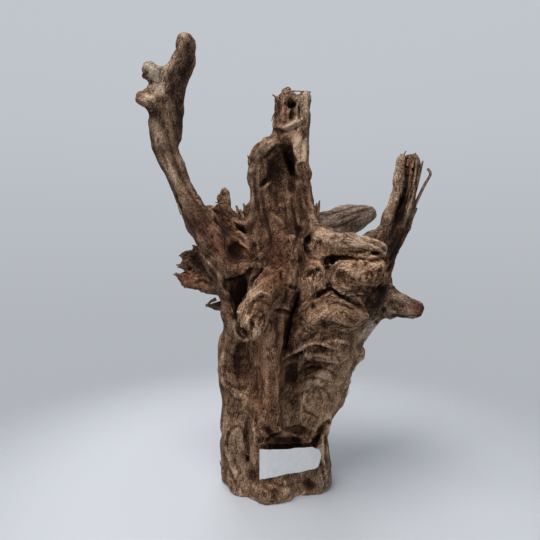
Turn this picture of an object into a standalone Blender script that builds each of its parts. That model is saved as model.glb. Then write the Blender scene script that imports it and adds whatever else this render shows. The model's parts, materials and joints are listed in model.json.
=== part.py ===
"""Aquarium driftwood: a root stump that stands upside down on its sawn trunk, with its roots in the air.

The wood is one solid. It is a bundle of strands, the old roots, each a tapered tube along a smooth route.
They are fused, hollowed where the soft wood has rotted out, and furrowed along their grain.
A blank paper label sticks to the front of the trunk, just above the foot, as a solid of its own.
Lengths are millimetres. +Z is up, -Y is the front, and the origin is in the middle of the sawn foot.
"""

import math

import bmesh
import bpy
import numpy as np
from mathutils import Vector

MM = 0.001
VOXEL = 2.2
ROUNDING = 6
HOLLOW_ROUNDING = 1
RIM_ROUNDING = 2
RING_SIDES = 18
RING_SPACING = 4.0
SPLINTER_SIDES = 5
SPLINTER_SPACING = 14.0
THINNEST = 0.8
FLUTES = 5
FLUTE_DEPTH = 0.07
FINE_FLUTES = 9
FINE_FLUTE_SHARE = 0.5
FLUTE_TWIST = 0.1
PHASE_STEP = 1.7
BROKEN_END = 2.0
WOOD_TRIANGLES = 11000
SEED = 7
SMOOTH_ANGLE = 40.0

# Weathering: the width and height of its lumps, and the width, half length and height of its furrows.
BROAD_LUMPS = (26.0, 1.6)
SMALL_LUMPS = (11.0, 1.2)
FURROW_WIDTH = 7.0
FURROW_REACH = 36.0
FURROW_HEIGHT = 1.1
# How sharply the grain turns from one strand to the next, and how many points are worked out at a time.
GRAIN_SHARPNESS = 6
GRAIN_FLOOR = 0.02
GRAIN_BATCH = 4000
# The block below the foot that leaves its underside flat.
GROUND_REACH = 200.0
GROUND_DEPTH = 60.0

WOOD_COLOUR = (0.19, 0.115, 0.07)
PAPER_COLOUR = (0.80, 0.80, 0.78)

# Each station is x, y, z, half width seen from the front, half depth.
TRUNK = {
    "core": [(-10, 4, -12, 33, 33), (-6, 4, 40, 34, 33), (2, 3, 80, 40, 31), (6, 2, 110, 46, 32), (6, 2, 150, 46, 34),
             (2, 2, 185, 42, 32), (0, 2, 215, 34, 28), (0, 2, 240, 29, 22)],
    "left_column": [(-32, -4, -12, 18, 22), (-32, -5, 24, 18, 24), (-31, -7, 55, 18, 27), (-30, -8, 78, 17, 26),
                    (-33, -8, 96, 17, 24), (-35, -7, 115, 16, 22), (-35, -7, 135, 13.5, 19)],
    "front_foot": [(-5, -15, -12, 32, 29), (-5, -15, 6, 32, 30), (-7, -14, 18, 28, 28), (-12, -15, 31, 19, 22)],
    "central_column": [(-9, -27, 6, 16, 14), (-8, -28, 38, 14, 14), (-7, -30, 61, 13, 13), (-5, -31, 83, 11.4, 13),
                       (-5, -32, 100, 10.5, 13), (-5, -34, 118, 10.4, 13), (-4, -38, 144, 11, 14),
                       (0, -38, 169, 13, 15), (6, -30, 193, 14.8, 16), (10, -18, 214, 15, 16)],
    "right_leg": [(41, -7, -12, 10, 22), (39.5, -7, 27, 9, 24), (37, -4, 48, 9, 21)],
    "leg_toe": [(37, -21, -12, 8, 10.5), (37, -20, 18, 6.6, 9.8), (36, -16, 40, 5, 8)],
    "right_flank": [(38, 4, 40, 9, 26), (40, 2, 60, 15, 24), (44, 2, 80, 19.5, 22), (45, 0, 100, 24, 24)],
    "right_mass": [(42, -2, 96, 22, 28), (41, -5, 118, 28, 32), (39, -9, 131, 31, 38), (38, -12, 140, 31, 43),
                   (38, -12, 150, 30, 41), (40, -12, 170, 29, 38), (37, -8, 196, 27, 32), (26, -4, 218, 25, 26)],
    "left_edge": [(-39, -20, 186, 5, 7), (-39, -20, 165, 4.6, 8), (-39, -20, 140, 4.6, 8), (-41, -18, 118, 5, 8),
                  (-43, -16, 100, 5.4, 8), (-42, -16, 80, 6, 8)],
    "foot_web": [(27, -11, -12, 14, 21), (27, -10, 10, 13, 20), (27, -6, 24, 12, 18), (26, -4, 40, 12, 18)],
    "back_left": [(-24, 18, -12, 22, 20), (-22, 20, 40, 21, 19), (-18, 24, 90, 22, 18), (-16, 26, 130, 22, 18),
                  (-14, 22, 170, 22, 18)],
    "back_right": [(20, 16, -12, 24, 20), (22, 20, 40, 20, 18), (28, 22, 90, 24, 18), (30, 24, 130, 24, 18),
                   (22, 22, 180, 22, 16)],
}
ROOTS = {
    "left_root": [(-35, -8, 138, 12, 17), (-37, -8, 165, 12.5, 18), (-41, -8, 187, 15, 18),
                  (-51.5, -8, 211, 15.8, 16), (-66, -6, 234, 13.5, 13), (-77, -5, 253, 10.8, 11),
                  (-85, -4, 271, 10.4, 10), (-90, -4, 283, 10.8, 10), (-96, -3, 297, 11.8, 10),
                  (-98, -2, 313, 13.5, 11), (-97.5, -2, 327, 14.6, 12), (-95.5, -2, 341, 14.4, 12),
                  (-93, 0, 354, 13, 12), (-87.5, 0, 366, 10.8, 11), (-82, 0, 376, 9.6, 10), (-79, 0, 384, 9.2, 9.5),
                  (-79.5, 0, 391, 8.4, 9), (-81.5, 0, 398, 5.8, 6.5)],
    "upper_nub": [(-96, 0, 350, 9.5, 8.5), (-104, -3, 360, 8, 7.4), (-111, -5.5, 364.5, 7.6, 7.2),
                  (-118, -8, 365, 7.8, 7.4)],
    "lower_nub": [(-94, -2, 334, 11.4, 10), (-107, -7, 336, 8.8, 8.4), (-120, -12, 337.5, 6.6, 6.4)],
    "drooping_root": [(8, -24, 196, 13, 12), (4, -36, 188, 13.5, 13), (-4, -47, 180, 14.5, 14),
                      (-12, -57, 170, 14.5, 13), (-19, -65, 158, 13, 12), (-24, -70, 146, 11, 10)],
    "spire": [(-4, 2, 200, 31, 24), (3, 2, 230, 32, 21), (4.5, 2, 249, 31, 18.5), (2.5, 2, 263, 28, 17),
              (-1, 3, 277, 26, 16), (0, 3, 290, 24, 15), (6, 3, 299, 18, 14.5), (11, 3, 307, 16, 14),
              (12.5, 3, 314, 16, 13.5), (12.5, 3, 321, 16, 13), (12.5, 3, 334, 16.5, 12), (13, 3, 345, 16.5, 11)],
    "spire_corner": [(23, 0, 322, 6, 7), (25, -1, 338, 6, 7), (27, -2, 348, 5, 6)],
    "spire_ridge": [(24, -6, 344, 4, 5), (24, -8, 318, 4.4, 5.4), (23, -11, 296, 4.6, 6.4),
                    (23, -13, 274, 4.8, 6.8), (26, -15, 252, 5.4, 7.2), (31, -18, 233, 6.5, 7.4),
                    (38, -23, 219, 7, 7)],
    "right_prong": [(80, 2, 150, 13, 13), (92, 4, 168, 13, 13), (95.5, 6, 189, 12, 12), (100, 6, 206, 11, 11),
                    (105, 5, 222, 11.6, 11), (109, 4, 237, 12.6, 10), (114, 4, 254, 12.2, 9.5),
                    (117, 4, 272, 12.2, 9), (118.5, 4, 294, 11.2, 8.5)],
    "right_limb": [(44, -2, 96, 16, 18), (54, -1, 114, 15, 17), (66, 2, 132, 13, 14), (84, 4, 151, 13.5, 14)],
    "right_stub": [(92, 6, 160, 16, 15), (105, 6, 160, 15.2, 14), (117, 4, 157.5, 11.8, 12), (125, 2, 155, 9.4, 9),
                   (131.5, 1, 153.5, 7.4, 7.4)],
    "high_stub": [(22, -18, 213, 12, 13), (37, -28, 213, 11.5, 13), (55, -38, 212, 9.8, 11), (71, -46, 210, 7.6, 8),
                  (83, -50, 207.5, 4.6, 5)],
    "broken_lobe": [(24, -22, 182, 13, 15), (40, -34, 184, 15.5, 16), (56, -45, 186, 15, 14),
                    (70, -53, 189, 12.6, 11), (82, -58, 194, 8.5, 8)],
    "low_lobe": [(19, -30, 150, 19, 18), (35, -43, 156, 17.5, 16), (51, -50, 160, 13.4, 13), (62, -54, 160, 9, 9.5),
                 (70, -57, 157.5, 5, 5.5)],
    "grey_root": [(20, 22, 220, 15, 14), (38, 32, 230, 15, 13), (57, 44, 234, 16, 12.5), (77, 56, 240.5, 15.5, 11),
                  (93, 64, 246.5, 11.5, 9), (106, 68, 251, 6.5, 5.5)],
    "burl": [(-50, 10, 190, 12, 14), (-62, 16, 195, 13, 14), (-73, 21, 197.5, 12, 13), (-81, 24, 198, 9.5, 11),
             (-87, 26, 196, 5, 6)],
    "left_spike": [(-44, 2, 176, 11, 11), (-61, 5, 179, 10, 9), (-76, 7, 181, 7.6, 7), (-87, 8, 181.5, 4.6, 4),
                   (-92, 8, 180, 2, 2.4)],
    "small_spike": [(-44, 10, 156, 6, 6), (-58, 15, 156, 5, 5), (-71, 18, 158, 2.2, 2.6)],
    "crotch_root_high": [(-66, 8, 248, 4, 5), (-53, 10, 245, 5.6, 6), (-37, 8, 238, 6.5, 7), (-20, 3, 228, 7, 8)],
    "crotch_root_low": [(-64, 0, 241, 6, 7), (-47, -4, 227, 6.8, 7), (-30, -10, 211, 6.6, 7), (-14, -15, 196, 6, 7)],
    "crotch_back": [(-64, 4, 226, 8, 8), (-44, 7, 225, 10, 9), (-22, 7, 222, 11, 10)],
    "crotch_web": [(-58, -6, 206, 10, 9), (-40, -6, 208, 14, 10), (-20, -8, 206, 14, 12), (0, -10, 204, 14, 14)],
    "pocket_rim": [(-58, -14, 200, 6, 6), (-40, -20, 193.5, 5.2, 6), (-21, -25, 196, 6, 7), (-4, -27, 207, 7, 8)],
    "prong_lump": [(78, 0, 216, 7.6, 8), (88, 2, 222, 7.4, 7.6), (97, 2, 221, 8, 8)],
    "knob": [(62, 0, 116, 9, 9), (75, 0, 114, 8.4, 8), (80, 0, 111, 5.5, 5.5)],
    "low_knob": [(56, 0, 102, 9, 9), (68, 0, 102, 6, 6), (72, 0, 101, 3, 3)],
    "side_web": [(52, 4, 140, 14, 12), (64, 8, 165, 16, 11), (75, 9, 192, 16, 10), (80, 8, 212, 11, 9)],
    "hood": [(10, 0, 314, 5, 6), (4, -4, 306, 8, 8), (-4, -5, 298, 11, 9), (-13, -4, 289, 9, 8),
             (-18, -2, 276, 6, 6)],
    "lobe_web": [(32, -22, 208, 13, 12), (42, -35, 194, 17, 15), (47, -41, 174, 17, 15), (46, -40, 154, 15, 14),
                 (40, -32, 138, 14, 13)],
}
BACK_ROOTS = {
    "back_prong": [(0, 22, 196, 22, 16), (2, 38, 218, 17, 15), (4, 54, 238, 13, 12), (4, 68, 255, 11, 10),
                   (2, 78, 266, 9, 8)],
    "back_stub": [(-16, 26, 140, 18, 16), (-28, 42, 156, 15, 13), (-38, 55, 168, 12, 11), (-44, 64, 176, 9.5, 9)],
    "back_knuckle": [(26, 26, 112, 18, 16), (40, 42, 122, 15, 14), (52, 53, 131, 11, 11), (59, 59, 139, 8, 8)],
    "back_web": [(-24, 30, 100, 8, 8), (-20, 36, 128, 8, 8), (-8, 36, 160, 9, 9), (6, 34, 190, 9, 9)],
}
THIN_FLAKES = {
    "crotch_flake": [(-46, 12, 238, 4, 3.4), (-46.5, 14, 248, 4.6, 2.4), (-49, 15, 256, 5, 2),
                     (-48.5, 15, 262, 2.8, 1.6), (-48, 15, 267, 1.4, 1.2)],
    "crotch_chip": [(-34, 12, 236, 6.5, 5), (-32, 14, 245, 3.8, 3), (-30.5, 14, 250, 1.6, 1.5)],
    "back_chip": [(37, 12, 236, 5.4, 5), (40, 14, 248, 3.4, 3), (42, 15, 259, 1.5, 1.5)],
    "spire_crown": [(8.5, 0, 336, 6, 5), (8, 0, 346, 5.2, 4.6), (8, 0, 353.5, 4.4, 4)],
    "spire_shoulder": [(-16, 0, 276, 5, 6), (-21, 0, 288, 3.4, 5), (-23, 0, 295, 1.6, 2.4)],
}
# Rotted-out hollows, in the same form.
HOLLOWS = {
    "pocket": [(-32, -26, 188, 8.5, 16), (-32.5, -28, 174, 10.4, 24), (-33, -29, 159, 8.4, 20),
               (-34, -28, 147, 4.6, 12)],
    "left_recess": [(-30, -41, 138, 7, 12), (-29, -40, 124, 11.5, 20), (-29, -39, 106, 11.5, 19),
                    (-30, -37, 88, 7.5, 12)],
    "side_gap": [(97, -8, 203, 3, 8), (93, -10, 188, 5, 12), (86, -14, 172, 6.5, 14), (78, -16, 156, 6.5, 13),
                 (71, -20, 145, 4, 9)],
    "crevice": [(17, -42, 178, 2.6, 12), (14, -46, 161, 3.4, 16), (9, -46, 138, 3.4, 16), (6, -40, 116, 2.8, 12)],
    "scoop": [(50, -46, 117, 4, 14), (38, -46, 113, 8, 19), (25, -44, 108, 11, 22), (16, -40, 98, 11.5, 23),
              (13, -37, 84, 11, 21), (15, -35, 68, 10, 17), (22, -33, 55, 8, 13)],
    "low_hollow": [(-11, -32, 50, 4.6, 13), (0, -28, 49.5, 5.4, 17), (14, -26, 49, 5.6, 18),
                   (29, -24, 49.5, 4.8, 14)],
    "label_hollow": [(-5, -38, 37, 5.5, 9), (9, -30, 37, 8, 16), (24, -26, 37, 7.5, 14)],
    "foot_notch": [(27, -30, 40, 4.8, 11), (26.5, -34, 22, 4.4, 11), (26, -40, 8, 4, 11), (26, -44, -14, 4, 11)],
    "leg_crack": [(47, -16, 60, 1.9, 8), (38, -22, 48, 2.2, 10), (32, -26, 37, 2.2, 10)],
    "spire_scoop": [(13, -15, 306, 3, 8), (9, -16, 297, 7, 13), (3, -16, 284, 12, 17), (0, -16, 266, 9.5, 13),
                    (1, -18, 250, 5, 8)],
    "spire_slot": [(11, -12, 302, 2.6, 8), (12.5, -10, 290, 4.6, 13), (14, -10, 274, 4.4, 13),
                   (15, -12, 257, 2.6, 9)],
    "lobe_hole": [(43, -62, 199.5, 5, 4.5), (45, -38, 199.5, 5.4, 5), (46, -8, 200, 3.5, 3.5)],
    "crescent": [(28, -30, 222, 2.2, 9), (25, -30, 214, 2.8, 10), (26, -30, 205, 2.2, 9)],
    "crown_hole": [(17, -14, 340, 2.6, 9), (17, -14, 331, 2.4, 9)],
    "prong_split": [(115, -7, 289, 1.6, 7), (113, -7, 262, 3.2, 8), (110, -7, 234, 3.8, 8)],
    "back_trough": [(2, 46, 24, 5, 10), (6, 48, 70, 8, 13), (6, 48, 112, 7, 12), (2, 44, 150, 4, 8)],
    "foot_arch": [(6, 40, -14, 11, 14), (5, 40, 10, 9, 13), (4, 42, 24, 5, 9)],
    "back_pocket": [(26, 44, 158, 6, 10), (20, 46, 176, 9, 14), (16, 40, 196, 6, 10)],
    "drooping_cup": [(-21, -67, 158, 3, 4), (-25, -73, 150, 5.6, 6), (-29, -80, 140, 7, 8)],
    "nub_cup": [(-110, -6, 364.5, 2, 2), (-116, -8, 365, 5, 5), (-122, -10, 365, 6, 6)],
    "high_stub_cup": [(75, -47, 209, 1.6, 2), (83, -50, 207.5, 2.8, 3.2), (90, -53, 206, 3.6, 3.8)],
    "grey_cup": [(100, 66, 250, 2, 2), (107, 69, 252, 4, 3.8), (114, 72, 254, 5, 4.6)],
    "back_prong_cup": [(2, 72, 259, 3, 3), (2, 80, 268, 6, 5), (2, 88, 277, 7, 6)],
    "back_stub_cup": [(-42, 61, 173, 3, 3), (-46, 67, 178.5, 6, 6), (-51, 74, 184, 7, 7)],
    "stub_undercut": [(26, -54, 198.5, 1.8, 7), (40, -60, 200, 3, 12), (56, -66, 200.5, 2.8, 11),
                      (72, -72, 200, 2.2, 10)],
    "lobe_gap": [(30, -60, 175, 1.6, 6), (42, -64, 173.5, 2.4, 10), (56, -70, 171, 2.2, 9),
                 (72, -74, 168, 2.8, 10)],
}
SPLINTERS = {
    "long_splinter": [(108, 4, 208, 2.6, 2.6), (117, 3, 222, 2.4, 2.4), (122, 2, 232, 1.8, 1.8),
                      (131, 2, 256, 1.5, 1.4), (138, 2, 275, 1.2, 1.2), (136.5, 1, 279.5, 0.8, 0.8)],
    "short_splinter": [(116, 4, 240, 2.4, 2.4), (124, 4, 258, 1.9, 1.8), (128, 4, 272, 1.5, 1.4),
                       (131.5, 4, 288, 0.8, 0.8)],
    "crown_twig": [(10, -1, 346, 2, 2), (14, -2, 348.5, 1.2, 1.2), (21, -4, 348.5, 1, 1), (30, -6, 347, 0.7, 0.7)],
    "crown_spike": [(5, -4, 339, 2, 2), (1, -6, 342, 1.4, 1.4), (-2.5, -7, 344.5, 0.8, 0.8)],
}

# The label: where its left edge stands, how far it reaches and how far its right end lies further back.
LABEL_LEFT = -14.0
LABEL_FRONT = -43.4
LABEL_SPAN = 52.0
LABEL_SETBACK = 13.0
LABEL_THICKNESS = 0.6
LABEL_BEND = 1.8
LABEL_COLUMNS = 20
# Share of the span, height of the lower edge and height of the upper edge. The right end is torn.
LABEL_EDGES = [(0.0, 21.0, 46.3), (0.2, 22.4, 45.8), (0.45, 24.3, 44.9), (0.55, 23.9, 45.2), (0.85, 24.5, 43.8),
               (0.9, 24.6, 42.2), (0.95, 25.6, 41.0), (1.0, 32.2, 36.8)]
PAPER_GAP = 0.3
SEAT_MARGIN = 1.0
SEAT_REACH = 14.0


def lattice_noise(points, wavelength, seed):
    """Smooth random values from -1 to 1 that change over about one wavelength."""
    scaled = points / wavelength
    cell = np.floor(scaled).astype(np.int64)
    blend = scaled - cell
    blend = blend * blend * (3 - 2 * blend)
    total = np.zeros(len(points))
    for corner in np.ndindex(2, 2, 2):
        weight = np.prod(np.where(corner, blend, 1 - blend), axis=1)
        mixed = (cell + corner) @ np.array([73856093, 19349663, 83492791]) + seed * 1013904223
        mixed = (mixed ^ (mixed >> 15)) * 2246822519 & 0xFFFFFFFF
        mixed = (mixed ^ (mixed >> 13)) * 3266489917 & 0xFFFFFFFF
        total += weight * ((mixed ^ (mixed >> 16)) / 0x7FFFFFFF - 1)
    return total


def grain_direction(points):
    """The direction of the wood fibres at each point: that of the strands it lies in."""
    routes = [stations_between(stations) for stations in {**TRUNK, **ROOTS, **BACK_ROOTS}.values()]
    middles = np.vstack([route[:, :3] for route in routes])
    tangents = np.vstack([np.gradient(route[:, :3], axis=0) for route in routes])
    tangents /= np.linalg.norm(tangents, axis=1, keepdims=True)
    radii = np.concatenate([route[:, 3:].mean(axis=1) for route in routes])
    directions = np.empty_like(points)
    for first in range(0, len(points), GRAIN_BATCH):
        some = points[first:first + GRAIN_BATCH]
        reach = np.linalg.norm(some[:, None] - middles, axis=2) / radii
        mixed = (1 / (reach ** GRAIN_SHARPNESS + GRAIN_FLOOR)) @ tangents
        directions[first:first + GRAIN_BATCH] = mixed / (np.linalg.norm(mixed, axis=1, keepdims=True) + 1e-9)
    return directions


def fibres(points, directions, wavelength, reach, seed):
    """Noise smeared along the grain: long streaks, one wavelength wide, scaled to a spread of one."""
    taps = np.linspace(-reach, reach, 2 * round(reach / wavelength) + 1)
    total = sum(lattice_noise(points + tap * directions, wavelength, seed) for tap in taps)
    return total / total.std()


def stations_between(stations, spacing=RING_SPACING):
    """A smooth route through the stations, with a ring about every spacing."""
    rows = np.array(stations, float)
    rows = np.vstack([2 * rows[0] - rows[1], rows, 2 * rows[-1] - rows[-2]])
    route = []
    for before, start, end, after in zip(rows, rows[1:], rows[2:], rows[3:]):
        steps = max(1, round(np.linalg.norm(end[:3] - start[:3]) / spacing))
        for t in np.arange(steps) / steps:
            route.append(0.5 * (2 * start + (end - before) * t
                                + (2 * before - 5 * start + 4 * end - after) * t ** 2
                                + (3 * start - before - 3 * end + after) * t ** 3))
    route.append(rows[-2])
    route = np.array(route)
    route[:, 3:] = np.maximum(route[:, 3:], THINNEST)
    return route


def add_strand(mesh, stations, sides=RING_SIDES, spacing=RING_SPACING, flute_depth=FLUTE_DEPTH,
               broken_end=BROKEN_END):
    """A fluted tube along the stations, with a rough, slightly hollow end."""
    route = stations_between(stations, spacing)
    tangents = np.gradient(route[:, :3], axis=0)
    angles = np.linspace(0, 2 * math.pi, sides, endpoint=False)
    phase = PHASE_STEP * len(stations) + stations[0][0]
    rings = []
    for i, (row, tangent) in enumerate(zip(route, tangents)):
        along = Vector(tangent).normalized()
        depth_axis = Vector((0, 1, 0)) if abs(along.y) < 0.9 else Vector((0, 0, 1))
        depth_axis = (depth_axis - depth_axis.dot(along) * along).normalized()
        side_axis = depth_axis.cross(along)
        last = i == len(route) - 1
        turn = phase + FLUTE_TWIST * i
        ring = []
        for angle in angles:
            flute = 1 + flute_depth * math.sin(FLUTES * angle + turn)
            flute += FINE_FLUTE_SHARE * flute_depth * math.sin(FINE_FLUTES * angle - turn)
            rough = broken_end * math.sin(3 * angle + phase) * math.sin(7 * angle) if last else 0.0
            point = (Vector(row[:3]) + side_axis * (row[3] * math.cos(angle) * flute)
                     + depth_axis * (row[4] * math.sin(angle) * flute) + along * rough)
            ring.append(mesh.verts.new(point * MM))
        rings.append(ring)
    for lower, upper in zip(rings, rings[1:]):
        for k in range(sides):
            following = (k + 1) % sides
            mesh.faces.new((lower[k], upper[k], upper[following], lower[following]))
    for ring, row, sign in ((rings[0], route[0], 1), (rings[-1], route[-1], -1)):
        middle = mesh.verts.new(Vector(row[:3]) * MM)
        for k in range(sides):
            corners = (ring[k], ring[(k + 1) % sides], middle)
            mesh.faces.new(corners if sign > 0 else corners[::-1])


def object_of(name, mesh):
    data = bpy.data.meshes.new(name)
    mesh.to_mesh(data)
    mesh.free()
    made = bpy.data.objects.new(name, data)
    bpy.context.scene.collection.objects.link(made)
    return made


def object_from(name, strands, **shape):
    """One object that holds a tube for each of the strands."""
    mesh = bmesh.new()
    for stations in strands.values():
        add_strand(mesh, stations, **shape)
    bmesh.ops.recalc_face_normals(mesh, faces=mesh.faces)
    return object_of(name, mesh)


def keep_modifiers(obj):
    """Replaces the object's mesh by what its modifiers make of it."""
    obj_evaluated = obj.evaluated_get(bpy.context.evaluated_depsgraph_get())
    data = bpy.data.meshes.new_from_object(obj_evaluated)
    obj.modifiers.clear()
    obj.data = data


def fuse(obj, rounding):
    """Melts overlapping tubes into one skin and rounds the creases between them."""
    remesh = obj.modifiers.new("Fuse", "REMESH")
    remesh.mode = "VOXEL"
    remesh.voxel_size = VOXEL * MM
    smooth = obj.modifiers.new("Round", "SMOOTH")
    smooth.iterations = rounding
    keep_modifiers(obj)


def boolean(obj, tool, operation):
    cut = obj.modifiers.new(operation.title(), "BOOLEAN")
    cut.operation = operation
    cut.object = tool
    cut.solver = "EXACT"
    keep_modifiers(obj)
    bpy.data.objects.remove(tool)


def point_positions(obj):
    flat = np.empty(len(obj.data.vertices) * 3, np.float32)
    obj.data.vertices.foreach_get("co", flat)
    return flat.reshape(-1, 3).astype(float) / MM


def move_points(obj, points):
    obj.data.vertices.foreach_set("co", (points * MM).astype(np.float32).ravel())
    obj.data.update()


def point_normals(obj):
    flat = np.empty(len(obj.data.vertices) * 3, np.float32)
    obj.data.vertex_normals.foreach_get("vector", flat)
    return flat.reshape(-1, 3).astype(float)


def weather(obj):
    """Lumps and grain furrows, moved in or out along the surface's normals."""
    points = point_positions(obj)
    height = FURROW_HEIGHT * fibres(points, grain_direction(points), FURROW_WIDTH, FURROW_REACH, SEED)
    for number, (width, lump_height) in enumerate((BROAD_LUMPS, SMALL_LUMPS), SEED + 1):
        height += lump_height * lattice_noise(points, width, number)
    move_points(obj, points + height[:, None] * point_normals(obj))


def thin_out(obj, triangles):
    """Keeps about this many triangles, most of them where the surface bends."""
    obj.data.calc_loop_triangles()
    decimate = obj.modifiers.new("Thin out", "DECIMATE")
    decimate.ratio = triangles / len(obj.data.loop_triangles)
    keep_modifiers(obj)


def block(name, low, high):
    """A plain box between two corners, used as a cutter."""
    mesh = bmesh.new()
    bmesh.ops.create_cube(mesh, size=1.0)
    for vertex in mesh.verts:
        for axis in range(3):
            vertex.co[axis] = (high[axis] if vertex.co[axis] > 0 else low[axis]) * MM
    return object_of(name, mesh)


def paper(name, margin, front, back):
    """A bent sheet on the label's outline, grown by a margin, between two offsets from the label's face."""
    shares, lower, upper = np.array(LABEL_EDGES).T
    mesh = bmesh.new()
    columns = []
    for x in np.linspace(LABEL_LEFT - margin, LABEL_LEFT + LABEL_SPAN + margin, LABEL_COLUMNS + 1):
        share = max(0.0, (x - LABEL_LEFT) / LABEL_SPAN)
        y = LABEL_FRONT + LABEL_SETBACK * share ** LABEL_BEND
        low = np.interp(share, shares, lower) - margin
        high = np.interp(share, shares, upper) + margin
        corners = [(x, y + front, low), (x, y + front, high), (x, y + back, high), (x, y + back, low)]
        columns.append([mesh.verts.new(Vector(corner) * MM) for corner in corners])
    for left, right in zip(columns, columns[1:]):
        for k in range(4):
            following = (k + 1) % 4
            mesh.faces.new((left[k], left[following], right[following], right[k]))
    mesh.faces.new(columns[0][::-1])
    mesh.faces.new(columns[-1])
    bmesh.ops.recalc_face_normals(mesh, faces=mesh.faces)
    return object_of(name, mesh)


def finish(obj, material, colour, roughness):
    """Gives a solid its material, and smooth shading between its sharp edges."""
    made = bpy.data.materials.new(material)
    made.use_nodes = True
    shader = made.node_tree.nodes["Principled BSDF"]
    shader.inputs["Base Color"].default_value = (*colour, 1.0)
    shader.inputs["Roughness"].default_value = roughness
    shader.inputs["Metallic"].default_value = 0.0
    obj.data.materials.clear()
    obj.data.materials.append(made)
    obj.data.shade_smooth()
    obj.data.set_sharp_from_angle(angle=math.radians(SMOOTH_ANGLE))


def build():
    for old in list(bpy.data.objects):
        bpy.data.objects.remove(old)
    wood = object_from("driftwood", {**TRUNK, **ROOTS, **BACK_ROOTS, **THIN_FLAKES})
    fuse(wood, ROUNDING)
    hollows = object_from("hollows", HOLLOWS)
    fuse(hollows, HOLLOW_ROUNDING)
    boolean(wood, hollows, "DIFFERENCE")
    fuse(wood, RIM_ROUNDING)
    weather(wood)
    thin_out(wood, WOOD_TRIANGLES)
    for name, stations in SPLINTERS.items():
        splinter = object_from(name, {name: stations}, sides=SPLINTER_SIDES, spacing=SPLINTER_SPACING,
                               flute_depth=0.0, broken_end=0.0)
        boolean(wood, splinter, "UNION")
    ground = block("below_the_foot", (-GROUND_REACH, -GROUND_REACH, -GROUND_DEPTH), (GROUND_REACH, GROUND_REACH, 0.0))
    boolean(wood, ground, "DIFFERENCE")
    boolean(wood, paper("label_seat", SEAT_MARGIN, -SEAT_REACH, LABEL_THICKNESS + PAPER_GAP), "DIFFERENCE")
    label = paper("blank_label", 0.0, 0.0, LABEL_THICKNESS)
    finish(wood, "weathered_wood", WOOD_COLOUR, 0.85)
    finish(label, "plain_paper", PAPER_COLOUR, 0.6)


build()
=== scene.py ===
import json
import math
import time

import bmesh
import bpy
import numpy as np
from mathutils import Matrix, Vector
from mathutils.bvhtree import BVHTree

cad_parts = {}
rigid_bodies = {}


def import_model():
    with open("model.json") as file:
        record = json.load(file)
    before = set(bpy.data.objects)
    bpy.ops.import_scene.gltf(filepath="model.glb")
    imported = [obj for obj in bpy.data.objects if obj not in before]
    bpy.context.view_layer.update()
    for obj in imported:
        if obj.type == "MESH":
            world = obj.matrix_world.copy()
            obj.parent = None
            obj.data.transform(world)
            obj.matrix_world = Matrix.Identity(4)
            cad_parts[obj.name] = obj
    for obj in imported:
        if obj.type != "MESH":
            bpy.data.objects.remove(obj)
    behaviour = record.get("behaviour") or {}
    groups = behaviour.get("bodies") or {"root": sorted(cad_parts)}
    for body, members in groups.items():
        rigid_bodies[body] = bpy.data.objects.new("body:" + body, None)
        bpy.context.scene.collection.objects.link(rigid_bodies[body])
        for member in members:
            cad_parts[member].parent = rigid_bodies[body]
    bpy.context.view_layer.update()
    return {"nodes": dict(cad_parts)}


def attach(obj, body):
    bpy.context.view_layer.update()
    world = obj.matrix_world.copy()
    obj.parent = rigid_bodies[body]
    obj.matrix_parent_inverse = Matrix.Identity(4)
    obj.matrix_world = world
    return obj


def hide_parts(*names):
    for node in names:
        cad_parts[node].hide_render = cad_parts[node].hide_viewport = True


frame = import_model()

# Looks for the aquarium driftwood. Lengths are millimetres in the frame's axes, unless a note says otherwise.
# The wood starts as the frame's own solid. Torn edges are added, then it is carved and furrowed.

mm = 0.001
tiny = 1e-9              # keeps a length from being divided by zero
started = time.time()

# the photograph's viewpoint: metres, degrees and the picture's side in pixels
viewpoint = {"place": (-0.0054, -0.379, 0.211), "tilt": 87.0, "lens": 28.0, "sensor": 36.0, "picture": 540}

bpy.ops.object.camera_add(location=viewpoint["place"], rotation=(math.radians(viewpoint["tilt"]), 0, 0))
camera = bpy.context.active_object
camera.name = "photoCamera"
camera.data.lens = viewpoint["lens"]
camera.data.sensor_width = viewpoint["sensor"]
bpy.context.scene.camera = camera


def report(stage):
    print(f"{time.time() - started:6.1f} s  {stage}")


# the way that the camera looks, in millimetres and picture units
focal = viewpoint["lens"] / viewpoint["sensor"] * viewpoint["picture"]
middle = viewpoint["picture"] / 2
tilt = math.radians(90 - viewpoint["tilt"])
cameraPlace = np.array(viewpoint["place"]) / mm
forward = np.array((0, math.cos(tilt), -math.sin(tilt)))
upward = np.array((0, math.sin(tilt), math.cos(tilt)))


def aimAt(u, v):
    # from the camera through a pixel of the photograph
    return forward + (u - middle) / focal * np.array((1, 0, 0)) - (v - middle) / focal * upward


def placeAt(u, v, y):
    # what that pixel shows on the plane that lies y behind the frame's origin
    aim = aimAt(u, v)
    return cameraPlace + aim * (y - cameraPlace[1]) / aim[1]


def seeInPicture(points):
    # pixel column, pixel row and distance of each point, as the photograph shows it
    offset = points - cameraPlace
    depth = offset @ forward
    return middle + focal * offset[:, 0] / depth, middle - focal * (offset @ upward) / depth, depth


def unit(vectors, least=0.0):
    return vectors / (np.linalg.norm(vectors, axis=1, keepdims=True) + least)


def dots(first, second):
    return np.einsum("ij,ij->i", first, second)


def facingCamera(points, normals):
    return dots(normals, unit(cameraPlace - points))


def makeActive(piece):
    for item in bpy.context.view_layer.objects:
        item.select_set(False)
    piece.select_set(True)
    bpy.context.view_layer.objects.active = piece


def editMesh(piece, operator, **settings):
    # one edit-mode operator on all of a piece
    makeActive(piece)
    bpy.ops.object.mode_set(mode="EDIT")
    bpy.ops.mesh.select_all(action="SELECT")
    operator(**settings)
    bpy.ops.object.mode_set(mode="OBJECT")


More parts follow.
